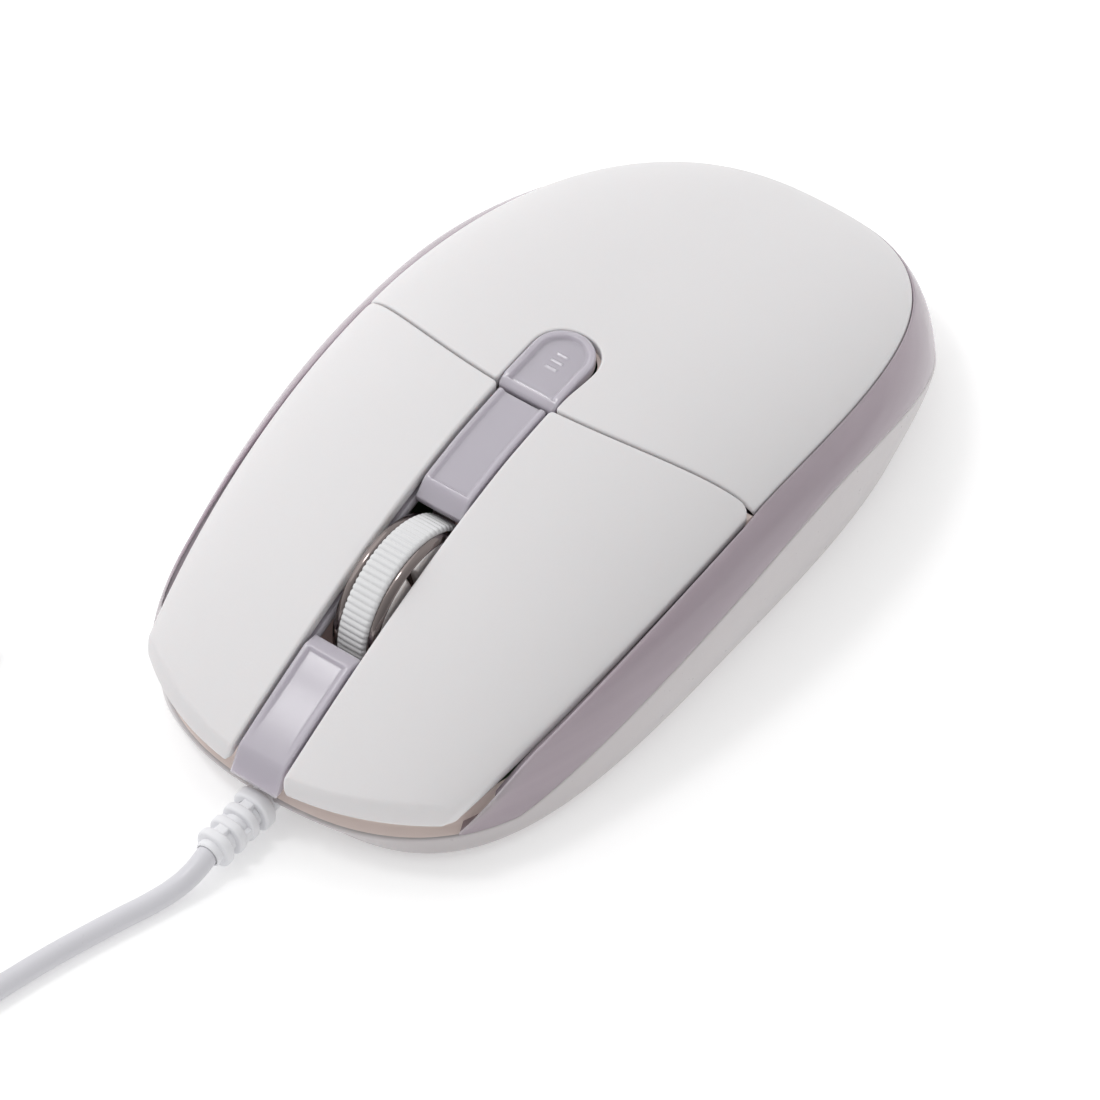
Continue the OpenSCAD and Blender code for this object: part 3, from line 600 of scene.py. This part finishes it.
def band_ledge():
    """The narrow step inside the band's upper edge, below the gap beside each button."""
    b = Build()
    for start, stop in ((-60.5, 2.5), (177.5, 240.5)):
        rings = []
        for a in np.radians(np.linspace(start, stop, 120)):
            out = np.array([math.cos(a), math.sin(a)])
            low = np.array([0, BAND_LINE[1]]) + (case_r(a) - 0.1) * out
            k = max(0.05, float(band_tip(low[1])))
            inner = outline_at(COVER_LINE, a, -0.03)
            outer = outline_at(COVER_LINE, a, float(band_gap(low[1])) + 0.08)
            outer = low - 1.2 * out + (outer - low + 1.2 * out) * k
            zl, zt = float(band_z(low[1])) - 0.1, float(rim_z(inner[1])) - 0.9
            z = zl + (zt - zl) * k
            rings.append([(*inner, z), (*outer, z), (*outer, z - 0.5), (*inner, z - 0.5)])
        ids = b.loft(rings)
        b.cap(ids[0], flip=True)
        b.cap(ids[-1])
    return piece("band_ledge", b.points, b.faces, BAND, "base", smooth=False)


def base_loop(a, grow):
    return outline_at(BASE_LINE, a, grow)


def case_ring(a, t, grow=0.0, lift=0.0):
    bulge = np.sin(math.pi / 2 * t)
    r = outline_r(BASE_LINE, a) * (1 - bulge) + case_r(a) * bulge + grow
    y = BASE_LINE[1] + (BAND_LINE[1] - BASE_LINE[1]) * bulge + r * np.sin(a)
    return np.stack([r * np.cos(a), y, 2 + (band_z(y) - 2) * t + lift], -1)


def rounded_box(x0, x1, y0, y1, r, n=6):
    loop = []
    corners = ((x1 - r, y1 - r, 0), (x0 + r, y1 - r, 90), (x0 + r, y0 + r, 180), (x1 - r, y0 + r, 270))
    for cx, cy, a0 in corners:
        a = np.radians(np.linspace(a0, a0 + 90, n))
        loop.append(np.stack([cx + r * np.cos(a), cy + r * np.sin(a)], -1))
    return np.concatenate(loop)


def circle(x, y, r, n=32):
    a = np.linspace(0, 2 * math.pi, n, endpoint=False)
    return np.stack([x + r * np.cos(a), y + r * np.sin(a)], -1)


def bottom_case():
    b = Build()
    a = np.linspace(0, 2 * math.pi, CASE_POINTS, endpoint=False)
    flat = base_loop(a, -1.6)
    rings = [np.c_[base_loop(a, grow), np.full(CASE_POINTS, z)]
             for grow, z in ((-1.6, FOOT_Z), (-1.2, 0.84), (-0.8, 0.98), (-0.45, 1.2), (-0.15, 1.6))]
    below_rim = 1 - 0.6 / (case_ring(a, 1)[:, 2] - 2)
    rings += [case_ring(a, t * below_rim) for t in np.linspace(0, 1, 22)]
    rings += [case_ring(a, 1, 0, -0.45), case_ring(a, 1, -0.03, -0.25), case_ring(a, 1, -0.12, -0.1),
              case_ring(a, 1, -0.28, -0.02), case_ring(a, 1, -0.5), case_ring(a, 1, -CASE_WALL + 0.3),
              case_ring(a, 1, -CASE_WALL, -0.3), case_ring(a, 0.6, -CASE_WALL), case_ring(a, 0.3, -CASE_WALL)]
    upper = base_loop(a, -CASE_WALL)
    rings.append(np.c_[upper, np.full(CASE_POINTS, FLOOR_Z)])
    ids = b.loft(rings)
    window = rounded_box(-5, 5, -1, 12, 1.2)
    low_window = b.add(np.c_[window, np.full(len(window), FOOT_Z)])
    high_window = b.add(np.c_[window, np.full(len(window), FLOOR_Z)])
    b.bridge(high_window, low_window)
    low_holes, high_holes = [(low_window, window)], [(high_window, window)]
    for s in (-1, 1):
        ring = circle(s * 16, 36, 2.15)
        edge = circle(s * 16, 36, 2.35)
        mouth = b.add(np.c_[edge, np.full(len(edge), FOOT_Z)])
        throat = b.add(np.c_[ring, np.full(len(ring), FOOT_Z + 0.2)])
        end = b.add(np.c_[ring, np.full(len(ring), 2.0)])
        b.bridge(throat, mouth)
        b.bridge(end, throat)
        b.cap(end, flip=True)
        low_holes.append((mouth, edge))
    fill(b, ids[0], flat, lambda x, y: np.full(len(x), FOOT_Z), 4, flip=True, holes=low_holes)

    def inner_floor(x, y):
        """The inner floor, hollowed where the wheel comes down."""
        return FLOOR_Z - 0.9 * smooth((13 - np.hypot(1.5 * x, y - WHEEL_Y)) / 7)

    fill(b, ids[-1], upper, inner_floor, 4, extra=hex_grid((-7, -43), (7, -18), 1.5), holes=high_holes)
    return piece("bottom_case_shell", b.points, b.faces, GLOSS, "base", ["bottom_case"])


def front_wall():
    """The wall that rises behind the front lip and closes the gap under the buttons. Its warm painted glow
    stands in for light coming through the plastic.
    """
    b = Build()
    rings = []
    for a in np.radians(np.linspace(-145, -35, 160)):
        out = np.array([math.cos(a), math.sin(a)])
        low = np.array([0, BAND_LINE[1]]) + case_r(a) * out
        inset = 0.34 + 1.6 * float(smooth((abs(math.degrees(a) + 90) - 32) / 8))
        crest = max(7.05, float(rim_z(low[1])) - 2.9)
        section = [(0.34, 4.36), (0.45, 4.43), (1.6, 4.5), (2.1, 4.75), (2.4, 5.3), (2.65, crest - 0.25),
                   (2.75, crest - 0.08), (2.9, crest), (3.3, crest), (3.45, crest - 0.15),
                   (3.5, crest - 0.45), (3.5, 3.9), (1.2, 3.9), (0.5, 4.3)]
        rings.append([(*(low - max(d, inset) * out), z) for d, z in section])
    ids = b.loft(rings)
    b.cap(ids[0], flip=True)
    b.cap(ids[-1])
    return piece("front_wall", b.points, b.faces, WARM_PAINTED_GLOW, "base")


light_band()
band_ledge()
bottom_case()
front_wall()


# ---------------------------------------------------------------- centre spine and small button
WHEEL_R, TYRE_W, HUB_W = 11, 4.2, 6.6
RIBS, RIB_STEPS, RIB_DEPTH, PADS = 80, 10, 0.22, 5
SLOT_FRONT, SLOT_REAR, SPINE_BEND = -43.3, -21.8, -58.3


def spine_top(y):
    return dome(np.zeros_like(y), y) - 0.25


def ridge(b, ys, xs, top, bottom):
    """A closed bar along Y: its cross-section's upper line is top(x, y) over xs."""
    rings = []
    for y in ys:
        t = top(xs, np.full(len(xs), y))
        low = min(float(bottom(y)), float(t.min()) - 0.2)
        rings.append(np.concatenate([np.c_[xs, np.full(len(xs), y), t],
                                     [(xs[-1], y, low + 0.15), (xs[-1] * 0.97, y, low),
                                      (xs[0] * 0.97, y, low), (xs[0], y, low + 0.15)]]))
    ids = b.loft(rings)
    b.cap(ids[0], flip=True)
    b.cap(ids[-1])
    return ids


def edge_fall(d, r):
    """Height lost by a round edge of radius r, at distances d from the side."""
    return r - np.sqrt(np.maximum(0, r * r - np.maximum(0, r - d) ** 2))


def dense(stops, n):
    """Y stations: n between each pair of stops."""
    return np.unique(np.concatenate([np.linspace(a, b, n) for a, b in zip(stops, stops[1:])]))


def centre_spine():
    b = Build()
    round_side = np.array([3.5, 3.48, 3.42, 3.32, 3.2])
    xs = np.concatenate([round_side, np.linspace(3.05, -3.05, 41), -round_side[::-1]])
    end = float(split_y(0)) - 0.4

    def across(x):
        return edge_fall(SPINE_HALF - np.abs(x), 0.3), smooth((2.95 - np.abs(x)) / 0.5)

    def rear(x, y):
        side, dish = across(x)
        flat = soft_min(spine_top(y), spine_top(np.full_like(y, SLOT_REAR)) + (y - SLOT_REAR) * 1.1, 0.3)
        dish = dish * smooth((y - SLOT_REAR - 0.15) / 0.35)
        return flat - side - 0.32 * dish - edge_fall(end - y, 0.25)

    def front(x, y):
        side, dish = across(x)
        step = SLOT_FRONT - 2
        top_step = spine_top(np.full_like(y, step))
        flat = soft_min(spine_top(y), top_step - 0.16 * (y - step), 0.22)
        flat = soft_min(flat, 7.6 + (y + 60.2) * 1.75, 0.45)
        dish = dish * smooth((step - 0.1 - y) / 0.3) * smooth((y - SPINE_BEND + 0.5) / 10)
        return flat - side - 0.3 * dish - edge_fall(SLOT_FRONT - y, 0.25)

    def deep(y):
        """The underside: 3 mm down, and clear of the wheel."""
        clear = (WHEEL_R + 0.5) ** 2 - (y - WHEEL_Y) ** 2
        over = WHEEL_Z + math.sqrt(clear) if clear > 0 and y > WHEEL_Y else 0
        lip = float(spine_top(np.array([SLOT_REAR]))[0]) - 2.75 if SLOT_REAR - 2 < y < SLOT_REAR - 0.6 else 0
        return max(7.3, over, lip, float(spine_top(np.array([y]))[0]) - 3)

    def rail_low(y):
        return float(spine_top(np.array([y]))[0]) - 3.6

    rear_stops = [SLOT_REAR - 1.75, SLOT_REAR - 0.5, SLOT_REAR + 0.8, -12, end - 1, end]
    front_stops = [-60.15, SPINE_BEND - 0.8, SPINE_BEND + 1.6, -50,
                   SLOT_FRONT - 2.6, SLOT_FRONT - 1.6, SLOT_FRONT]
    ridge(b, dense(rear_stops, 16), xs, rear, deep)
    ridge(b, dense(front_stops, 12), xs, front, deep)
    for s in (-1, 1):
        rail = s * 4.55 + np.linspace(0.75, -0.75, 9)
        ridge(b, np.linspace(SPINE_BEND + 2, end, 80), rail, lambda x, y: spine_top(y) - 2.4, rail_low)
        for y0, y1, z in ((-18, -15.5, 5.6), (-54, -52, FLOOR_Z)):
            ridge(b, np.array([y0, y1]), rail, lambda x, y: spine_top(y) - 3, lambda y: z)
    for y in (SLOT_FRONT - 1.5, SLOT_REAR + 0.5):
        ridge(b, np.array([y, y + 1]), np.linspace(5.3, -5.3, 9), lambda x, y: spine_top(y) - 2.5, rail_low)
    return piece("centre_spine_shell", b.points, b.faces, SMOKE, "base", ["centre_spine"])


def dpi_button():
    front = float(split_y(0)) + 0.1
    u = arch(DPI_HALF, -12, False)
    sides = [u, np.array([(-6 + 0.3 * i, front) for i in range(41)])]

    def top(x, y):
        r = np.where(y > DPI_Y, np.hypot(x, y - DPI_Y), np.abs(x))
        hollow = smooth((DPI_HALF - 0.75 - r) / 0.55) * smooth((y - front - 1.0) / 0.25)
        marks = 0
        for at in (-0.9, 0.3, 1.5):
            marks += smooth((0.95 - np.abs(x)) / 0.15) * smooth((0.2 - np.abs(y - at)) / 0.12)
        return (dome(x, y) + 0.15 - 0.5 * hollow + 0.14 * marks - 0.75 * clamp((front + 1.3 - y) / 1.3)
                - 0.12 * clamp((front + 1.5 - y) / 0.3) * clamp((y - front - 1.0) / 0.2))

    grid = hex_grid((-1.4, -1.6), (1.4, 2.2), 0.13)
    line = [np.stack([np.linspace(-3.9, 3.9, 36), np.full(36, front + d)], -1)
            for d in (0.75, 0.9, 1.0, 1.1, 1.2, 1.3, 1.4, 1.55)]
    border = [resample(offset(u[8:-8], d), 70) for d in (0.6, 0.75, 0.85, 0.95, 1.05, 1.15, 1.25, 1.35, 1.5)]
    return cover("dpi_button_shell", sides, (0.5, 0.5), (110, 34), top, lambda x, y: dome(x, y) - 1.6, 0.9,
                 0.3, SMOKE, "dpi_key", ["dpi_button"], step=0.5,
                 extra=np.concatenate([grid] + line + border))


centre_spine()
dpi_button()


# ---------------------------------------------------------------- wheel
def lathe_x(b, profile, angles, y=WHEEL_Y, z=WHEEL_Z, swell=None):
    """Turns a closed (radius, x) profile about the X axis."""
    rings = []
    for a in angles:
        ring = []
        for i, (r, x) in enumerate(profile):
            rr = r + (swell(i, a) if swell else 0)
            ring.append((x, y + rr * math.cos(a), z + rr * math.sin(a)))
        rings.append(ring)
    return b.loft(rings, around=True)


def wheel():
    w = TYRE_W / 2
    shoulder = np.linspace(w - 0.45, w, 6)
    xs = np.concatenate([-shoulder[::-1], np.linspace(-w + 0.8, w - 0.8, 7), shoulder])
    crown = [(WHEEL_R - 0.5 * max(0, (abs(x) - w + 0.5) / 0.5) ** 2.2 - 0.05 * (x / w) ** 2, x) for x in xs]
    profile = [(8.7, -w)] + crown + [(8.7, w)]
    depth = [0] + [RIB_DEPTH] * len(xs) + [0]

    def swell(i, a):
        wave = 0.5 + 0.5 * math.cos(RIBS * a)
        return -depth[i] * wave ** 2.2

    b = Build()
    lathe_x(b, profile, np.linspace(0, 2 * math.pi, RIBS * RIB_STEPS, endpoint=False), swell=swell)
    piece("tyre_ribbed", b.points, b.faces, TYRE, "wheel", ["wheel_tyre"])

    b = Build()
    h = HUB_W / 2
    rim = [(10.35, w + 0.02), (10.5, w + 0.08), (10.55, w + 0.25), (10.52, w + 0.6), (10.4, w + 0.85),
           (10.15, w + 1.05), (10.02, h - 0.04), (9.92, h - 0.06), (9.85, h - 0.15), (9.8, h - 0.5)]
    boss = [(9.7, h - 0.75), (9.5, h - 0.8), (3.4, h - 0.8), (3.2, h - 0.7), (3.1, h - 0.5), (3.05, h - 0.12),
            (2.9, h), (1.5, h), (1.3, h - 0.15), (1.3, h - 0.9)]
    profile = [(8.6, w + 0.02)] + rim + boss
    profile = profile + [(r, -x) for r, x in profile[::-1]]
    lathe_x(b, profile[::-1], np.linspace(0, 2 * math.pi, 240, endpoint=False))
    piece("hub_chrome", b.points, b.faces, CHROME_PAINTED_DARK_REFLECTION, "wheel", ["wheel_hub"])

    b = Build()
    section = [(9.68, 2.3), (9.66, 2.72), (9.55, 2.98), (9.3, 3.16), (8.9, 3.3), (8.2, 3.42), (6.4, 3.46),
               (4.5, 3.3), (4.1, 3.0), (4.0, 2.3)]
    for s in (-1, 1):
        for k in range(PADS):
            mid, span = 2 * math.pi * k / PADS - 0.035, 2 * math.pi / PADS - 0.11
            rings = []
            for t in np.sin(np.linspace(-0.5, 0.5, 33) * np.pi) / 2:
                grow = math.sqrt(1 - (1 - min(1, (0.5 - abs(t)) * 16 + 0.03)) ** 2)
                a = mid + span * t
                ring = [(s * (2.25 + (x - 2.25) * grow), WHEEL_Y + r * math.cos(a), WHEEL_Z + r * math.sin(a))
                        for r, x in section]
                rings.append(ring if s > 0 else ring[::-1])
            ids = b.loft(rings)
            b.cap(ids[0], flip=True)
            b.cap(ids[-1])
    piece("hub_pads", b.points, b.faces, SATIN_PAINTED_HIGHLIGHT, "wheel")


wheel()


# ---------------------------------------------------------------- strain relief, cord and plug
RELIEF_Z, RELIEF_TIP, CORD_D = 2.95, -69.2, 2.8


def lathe_y(b, profile, z, x=0, n=64, square=2.0):
    """Turns an open (radius, y) line about Y and closes its ends; square above 2 flattens the sides."""
    a = np.linspace(0, 2 * math.pi, n, endpoint=False)
    k = (np.abs(np.cos(a)) ** square + np.abs(np.sin(a)) ** square) ** (-1 / square)
    rings = [np.stack([x + r * k * np.cos(a), np.full(n, y), z + r * k * np.sin(a)], -1) for r, y in profile]
    ids = b.loft(rings)
    b.cap(ids[0])
    b.cap(ids[-1], flip=True)


def soft_ring(y, width, r, inner, edge=0.3):
    """Profile of a raised ring with round edges."""
    turn = np.linspace(0, math.pi / 2, 5)
    front = [(r - edge + edge * math.sin(t), y - edge + edge * math.cos(t)) for t in turn]
    back = [(r - edge + edge * math.cos(t), y - width + edge - edge * math.sin(t)) for t in turn]
    return [(inner, y)] + front + back + [(inner, y - width)]


def soft_block(b, low, high, r=0.15):
    """A box with round edges: a lofted stack of rounded rectangles."""
    (x0, y0, z0), (x1, y1, z1) = low, high
    lower = [(r * (1 - math.sin(g)), r * (1 - math.cos(g))) for g in np.linspace(0, math.pi / 2, 4)]
    stack = [(i, z0 + up) for i, up in lower] + [(i, z1 - up) for i, up in lower[::-1]]
    rings = []
    for i, z in stack:
        loop = rounded_box(x0 + i, x1 - i, y0 + i, y1 - i, r + 0.02)
        rings.append(np.c_[loop, np.full(len(loop), z)])
    ids = b.loft(rings)
    b.cap(ids[0], flip=True)
    b.cap(ids[-1])


def strain_relief():
    b = Build()
    core = [(1.3, -54), (1.75, -54.1), (2.0, -55), (2.0, -60.4), (1.75, -60.5), (1.75, -68.9), (1.68, -69.1),
            (1.5, RELIEF_TIP)]
    lathe_y(b, core, RELIEF_Z)
    lathe_y(b, soft_ring(-59.2, 1.9, 2.7, 1.7, 0.45), RELIEF_Z, square=2.5)
    for i, y in enumerate((-62.05, -64.45, -66.85)):
        lathe_y(b, soft_ring(y, 1.35, 2.45, 1.6, 0.35), RELIEF_Z, square=2.6)
        half_x, half_z = (0.75, 2.2) if i % 2 == 0 else (2.25, 0.75)
        low = (-half_x, y - 0.2, RELIEF_Z - half_z)
        high = (half_x, y + 1.5, RELIEF_Z + half_z)
        soft_block(b, low, high, 0.2)
    return piece("strain_relief_ribbed", b.points, b.faces, RELIEF, "base", ["strain_relief"])


# The cord's way in the row frame: out of the relief, over the table, into the coil, and from it to the plug.
RUN = [(0, -64.6, 2.95), (0, -67, 2.4), (-0.5, -69.5, 1.7), (-1.5, -73, 1.4), (-2.9, -77, 1.4),
       (-4.4, -81.5, 1.4), (-5.8, -86, 1.4), (-7, -90.5, 1.4), (-8.1, -95, 1.4), (-9, -99.5, 1.4),
       (-9.8, -104, 1.5), (-10.3, -108, 1.8)]
TAIL = [(-49.6, -111.5, 10.3), (-49.6, -106, 9.9), (-49.6, -102, 7.9), (-49.6, -98, 5.6), (-49.6, -95, 4.3),
        (-49.6, -92, 4), (-49.6, -90, 4)]
COIL_X, COIL_Y, COIL_R, COIL_LIFT, ROWS, COLUMNS, TURNS = -30, -110, 15.4, 0.5, 4, 4, 14.5


def coil_points(per_turn=28):
    """Turns laid beside and on each other: each turn shifts a diameter in or out, or climbs one row."""
    outer = COIL_R + 1.5 * CORD_D
    # where in the turn each change is made, in degrees, so that no change meets another
    place = {("in", 0): 305, ("up", 0): 255, ("out", 1): 205, ("up", 1): 155,
             ("in", 2): 105, ("up", 2): 55, ("out", 3): 5}
    changes, turn = [], 0
    for row in range(ROWS):
        way = "in" if row % 2 == 0 else "out"
        for _ in range(COLUMNS - 1):
            changes.append((360 * turn + place[way, row], way))
            turn += 1
        if row < ROWS - 1:
            changes.append((360 * turn + place["up", row], "up"))
            nxt = place["out" if way == "in" else "in", row + 1]
            turn += 1 if nxt < place["up", row] else 0
    points = []
    for i in range(int(TURNS * per_turn) + 1):
        t = 360 * i / per_turn
        r, z = outer, COIL_LIFT + CORD_D / 2
        for at, kind in changes:
            s = float(smooth((t - at) / 46))
            if kind == "up":
                z += CORD_D * s
            else:
                r += CORD_D * s * (1 if kind == "out" else -1)
        a = math.radians(t)
        points.append((COIL_X + r * math.cos(a), COIL_Y - r * math.sin(a), z))
    return points


def cord():
    points = mm([(0, RUN[0][1] + 0.9, RELIEF_Z)] + RUN + coil_points() + TAIL, shift=False)
    curve = bpy.data.curves.new("cord", "CURVE")
    curve.dimensions = "3D"
    spline = curve.splines.new("BEZIER")
    spline.bezier_points.add(len(points) - 1)
    for p, at in zip(spline.bezier_points, points):
        p.co = at
        p.handle_left_type = p.handle_right_type = "AUTO"
    spline.resolution_u = 4
    curve.bevel_depth = CORD_D / 2 * MM
    curve.bevel_resolution = 6
    curve.use_fill_caps = True
    curve.materials.append(JACKET)
    o = bpy.data.objects.new("cord", curve)
    bpy.context.scene.collection.objects.link(o)
    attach(o, "base")
    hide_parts("cord_run", "cord_coil", "cord_tail")
    return o


PLUG_X, PLUG_START, PLUG_Z = -49.6, -92, 4


def plug_body():
    """The moulded grip of the plug, with its ribbed neck, along Y."""
    b = Build()
    # each step: Y, half width, half height, and how square the section is
    steps = [(0, 1.5, 1.5, 2), (0.2, 1.95, 1.95, 2), (0.7, 2.25, 2.25, 2), (1.6, 2.3, 2.3, 2),
             (1.8, 2.0, 2.0, 2), (2.5, 2.0, 2.0, 2), (2.7, 2.3, 2.3, 2), (3.5, 2.3, 2.3, 2),
             (3.7, 2.0, 2.0, 2), (4.4, 2.0, 2.0, 2), (4.6, 2.3, 2.3, 2), (5.6, 2.3, 2.3, 2),
             (6.02, 3.0, 2.5, 2.2), (6.1, 5.9, 3.4, 3), (6.35, 6.5, 3.75, 3.6), (6.9, 6.85, 3.92, 4),
             (7.8, 7.0, 4.0, 4.5), (12, 7.0, 4.0, 4.5)]
    for k in range(4):
        y = 12.6 + 1.5 * k
        steps += [(y, 7, 4, 4.5), (y + 0.2, 6.75, 3.75, 4.5),
                  (y + 0.7, 6.75, 3.75, 4.5), (y + 0.9, 7, 4, 4.5)]
    steps += [(25.2, 7, 4, 4.5), (25.7, 6.85, 3.85, 4.5), (25.93, 6.6, 3.6, 4.5), (26, 6.2, 3.2, 4.5)]
    a = np.linspace(0, 2 * math.pi, 72, endpoint=False)
    rings = []
    for y, half_x, half_z, square in steps:
        k = (np.abs(np.cos(a)) ** square + np.abs(np.sin(a)) ** square) ** (-1 / square)
        x, z = PLUG_X + half_x * k * np.cos(a), PLUG_Z + half_z * k * np.sin(a)
        rings.append(np.stack([x, np.full(len(a), PLUG_START + y), z], -1))
    ids = b.loft(rings)
    b.cap(ids[0])
    b.cap(ids[-1], flip=True)
    return piece("plug_grip", b.points, b.faces, JACKET, "base", ["plug_body"],
                 shift=False, flip=True)


strain_relief()
lead = cord()
grip = plug_body()
mm([RUN[0]], shift=False)[0]


# ---------------------------------------------------------------- finish of the CAD nodes that stay
FINISH = {
    DARK_PLASTIC_PAINTED_GLOW: ["wheel_axle", "wheel_cradle"],
    CHIP: ["encoder_disc", "encoder_emitter", "encoder_detector", "sensor_chip", "controller_chip",
           "resistors", "left_switch", "right_switch", "wheel_switch", "dpi_switch", "plug_tongue",
           "capacitor"],
    STEEL: ["cradle_pin", "button_hinge_pin", "board_screws", "dpi_board_screws", "case_screws",
            "plug_shell"],
    BOARD: ["main_board", "dpi_board"],
    PLUNGER: ["left_plunger", "right_plunger", "wheel_plunger", "dpi_plunger"],
    CLEAR: ["sensor_lens"],
    LED: ["indicator_leds"],
    CONNECTOR: ["cable_header", "cable_plug"],
    SLEEVE: ["inner_lead"],
    GLIDE: ["front_foot", "rear_foot", "cord_tie"],
    GOLD: ["plug_contacts"],
}
for mat, names in FINISH.items():
    for name in names:
        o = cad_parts[name]
        o.data.materials.clear()
        o.data.materials.append(mat)


# ---------------------------------------------------------------- stage
def stage():
    half, z = 3, -0.0001
    mesh = bpy.data.meshes.new("floor")
    corners = [(-half, -half, z), (half, -half, z), (half, half, z), (-half, half, z)]
    mesh.from_pydata(corners, [], [(0, 1, 2, 3)])
    m = bpy.data.materials.new("floor")
    m.use_nodes = True
    n, links = m.node_tree.nodes, m.node_tree.links
    noise = n.new("ShaderNodeTexNoise")
    noise.inputs["Scale"].default_value = 30
    ramp = n.new("ShaderNodeValToRGB")
    ramp.color_ramp.elements[0].color = (0.85, 0.85, 0.85, 1)
    ramp.color_ramp.elements[1].color = (0.87, 0.87, 0.87, 1)
    links.new(noise.outputs["Fac"], ramp.inputs["Fac"])
    links.new(ramp.outputs["Color"], n["Principled BSDF"].inputs["Base Color"])
    n["Principled BSDF"].inputs["Roughness"].default_value = 0.9
    n["Principled BSDF"].inputs["Specular IOR Level"].default_value = 0.1
    n["Principled BSDF"].inputs["Emission Color"].default_value = (1, 1, 1, 1)
    n["Principled BSDF"].inputs["Emission Strength"].default_value = 0.27
    mesh.materials.append(m)
    floor = bpy.data.objects.new("floor", mesh)
    bpy.context.scene.collection.objects.link(floor)


def area(name, at, aim, size, power):
    data = bpy.data.lights.new(name, "AREA")
    data.shape, data.size, data.energy = "DISK", size, power
    o = bpy.data.objects.new(name, data)
    bpy.context.scene.collection.objects.link(o)
    turn = (Vector(aim) - Vector(at)).to_track_quat("-Z", "Y")
    o.matrix_world = Matrix.Translation(at) @ turn.to_matrix().to_4x4()


def surroundings():
    """White all round, dimmer low down on the side the object faces."""
    world = bpy.data.worlds.new("world")
    world.use_nodes = True
    n, links = world.node_tree.nodes, world.node_tree.links
    where = n.new("ShaderNodeTexCoord")
    side = n.new("ShaderNodeVectorMath")
    side.operation = "DOT_PRODUCT"
    side.inputs[1].default_value = (0.72, -0.62, -0.3)
    links.new(where.outputs["Generated"], side.inputs[0])
    dim = n.new("ShaderNodeMapRange")
    for key, value in (("From Min", -0.3), ("From Max", 0.9), ("To Min", 0.9), ("To Max", 0.42)):
        dim.inputs[key].default_value = value
    links.new(side.outputs["Value"], dim.inputs["Value"])
    links.new(dim.outputs["Result"], n["Background"].inputs["Strength"])
    n["Background"].inputs["Color"].default_value = (1, 1, 1, 1)
    bpy.context.scene.world = world


stage()
area("key", (-0.8, -0.05, 0.8), (0, 0, 0), 1.5, 3.3)
area("edge", (-0.4, -0.2, 0.9), (0, 0, 0), 0.2, 1.2)
surroundings()
bpy.context.scene.view_settings.view_transform = "Standard"
